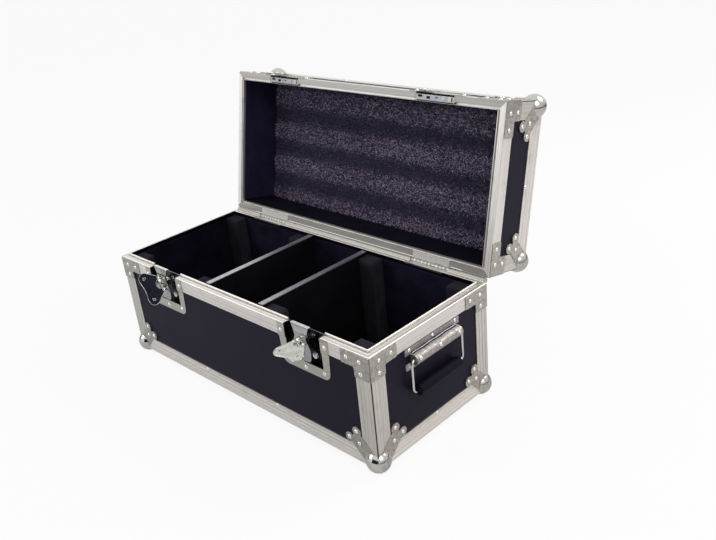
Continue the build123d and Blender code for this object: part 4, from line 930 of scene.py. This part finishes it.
def fittingRivets(base, lid, p):
    # on the dishes and keepers, the handle plates and the hinge leaves
    onSteel, onBoard = -halfDepth - steelSheet, -halfDepth + p["boardIn"] / 1000
    onLeaf = halfDepth + p["leafOut"] / 1000
    for side, sign in (("left", -1), ("right", 1)):
        low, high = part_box(side + "_latch_dish")
        middle = (low.x + high.x) / 2
        base.extend(rowRivets(p["dishRim"], middle, onSteel, rimTop, -1))
        lid.extend(rowRivets(p["dishRim"], middle, onSteel, lidRim, 1))
        base.extend(rowRivets(p["dishBoard"], middle, onBoard, rimTop, -1))
        lid.extend(rowRivets(p["keeperBoard"], middle, onBoard, rimTop, 1))
        low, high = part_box(side + "_handle_plate")
        level = (low.z + high.z) / 2
        for y, z in p["handle"]:
            base.append(((sign * halfWidth, y / 1000, level + z / 1000), (sign, 0, 0)))
        for y, turn in p["handleNose"]:
            out = Vector((sign * math.cos(math.radians(turn)), 0, math.sin(math.radians(turn))))
            axis = Vector((sign * (halfWidth + p["noseOut"] / 1000), y / 1000, level))
            base.append((tuple(axis + out * p["noseRadius"] / 1000), tuple(out)))
        low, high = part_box(side + "_hinge_base_leaf")
        middle = (low.x + high.x) / 2
        base.extend(rowRivets(p["hingeLeaf"], middle, onLeaf, rimTop, -1))
        lid.extend(rowRivets(p["hingeLeaf"], middle, onLeaf, lidRim, 1))


def headValues(s, finish):
    return {"dome radius": s["radiusMm"] / 1000, "dome height": s["heightMm"] / 1000,
            "collar radius": s["radiusMm"] * s["collarShare"] / 1000, "collar height": s["collarMm"] / 1000,
            "finish": finish}


baseSpots = baseRivets(rivetPlaces)
lidSpots = lidRivets(baseSpots, rivetPlaces)
fittingRivets(baseSpots, lidSpots, rivetPlaces)

ribs = {"base": [], "lid": []}
for side in ("left", "right"):
    low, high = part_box(side + "_hinge_base_leaf")
    for index in range(ribRing["perHinge"]):
        x = (low.x + high.x) / 2 + (index - (ribRing["perHinge"] - 1) / 2) * ribRing["pitchMm"] / 1000
        knuckle = index // ribRing["perKnuckle"]  # the base's leaf has the outer and the middle knuckles
        ribs["lid" if knuckle % 2 else "base"].append(((x, hinge.y, hinge.z), (1, 0, 0)))

lean = Vector(trimScrew["lean"]).normalized()
screws = [(Vector((x / 1000, hinge.y, hinge.z)) + lean * gapTrim["beadMm"] / 1000, tuple(lean))
          for x in trimScrew["places"]]

tree, ids = headTree("domeHeads")
rivetValues = headValues(rivetHead, platedSteel("platedRivetSteel", steelFinishes["rivet"]))
screwValues = headValues(screwHead, platedSteel("oiledSteel", steelFinishes["oiled"]))
ribValues = headValues(ribRing, platedSteel("rubbedRibSteel", steelFinishes["rib"]))
for name, body, spots, values in (
        ("baseRivets", "base", baseSpots, rivetValues), ("lidRivets", "lid", lidSpots, rivetValues),
        ("trimScrews", "base", screws, screwValues),
        ("baseHingeRibs", "base", ribs["base"], ribValues),
        ("lidHingeRibs", "lid", ribs["lid"], ribValues)):
    turn = lidTurn if body == "lid" else Matrix.Identity(4)
    heads = drawnObject(name, [turn @ Vector(place) for place, normal in spots], [], [])
    facing = heads.data.attributes.new("facing", "FLOAT_VECTOR", "POINT")
    for index, (place, normal) in enumerate(spots):
        facing.data[index].vector = turn.to_3x3() @ Vector(normal)
    runTree(heads, tree, ids, values)
    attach(heads, body)
    print(name, len(spots), "heads")


print("done")
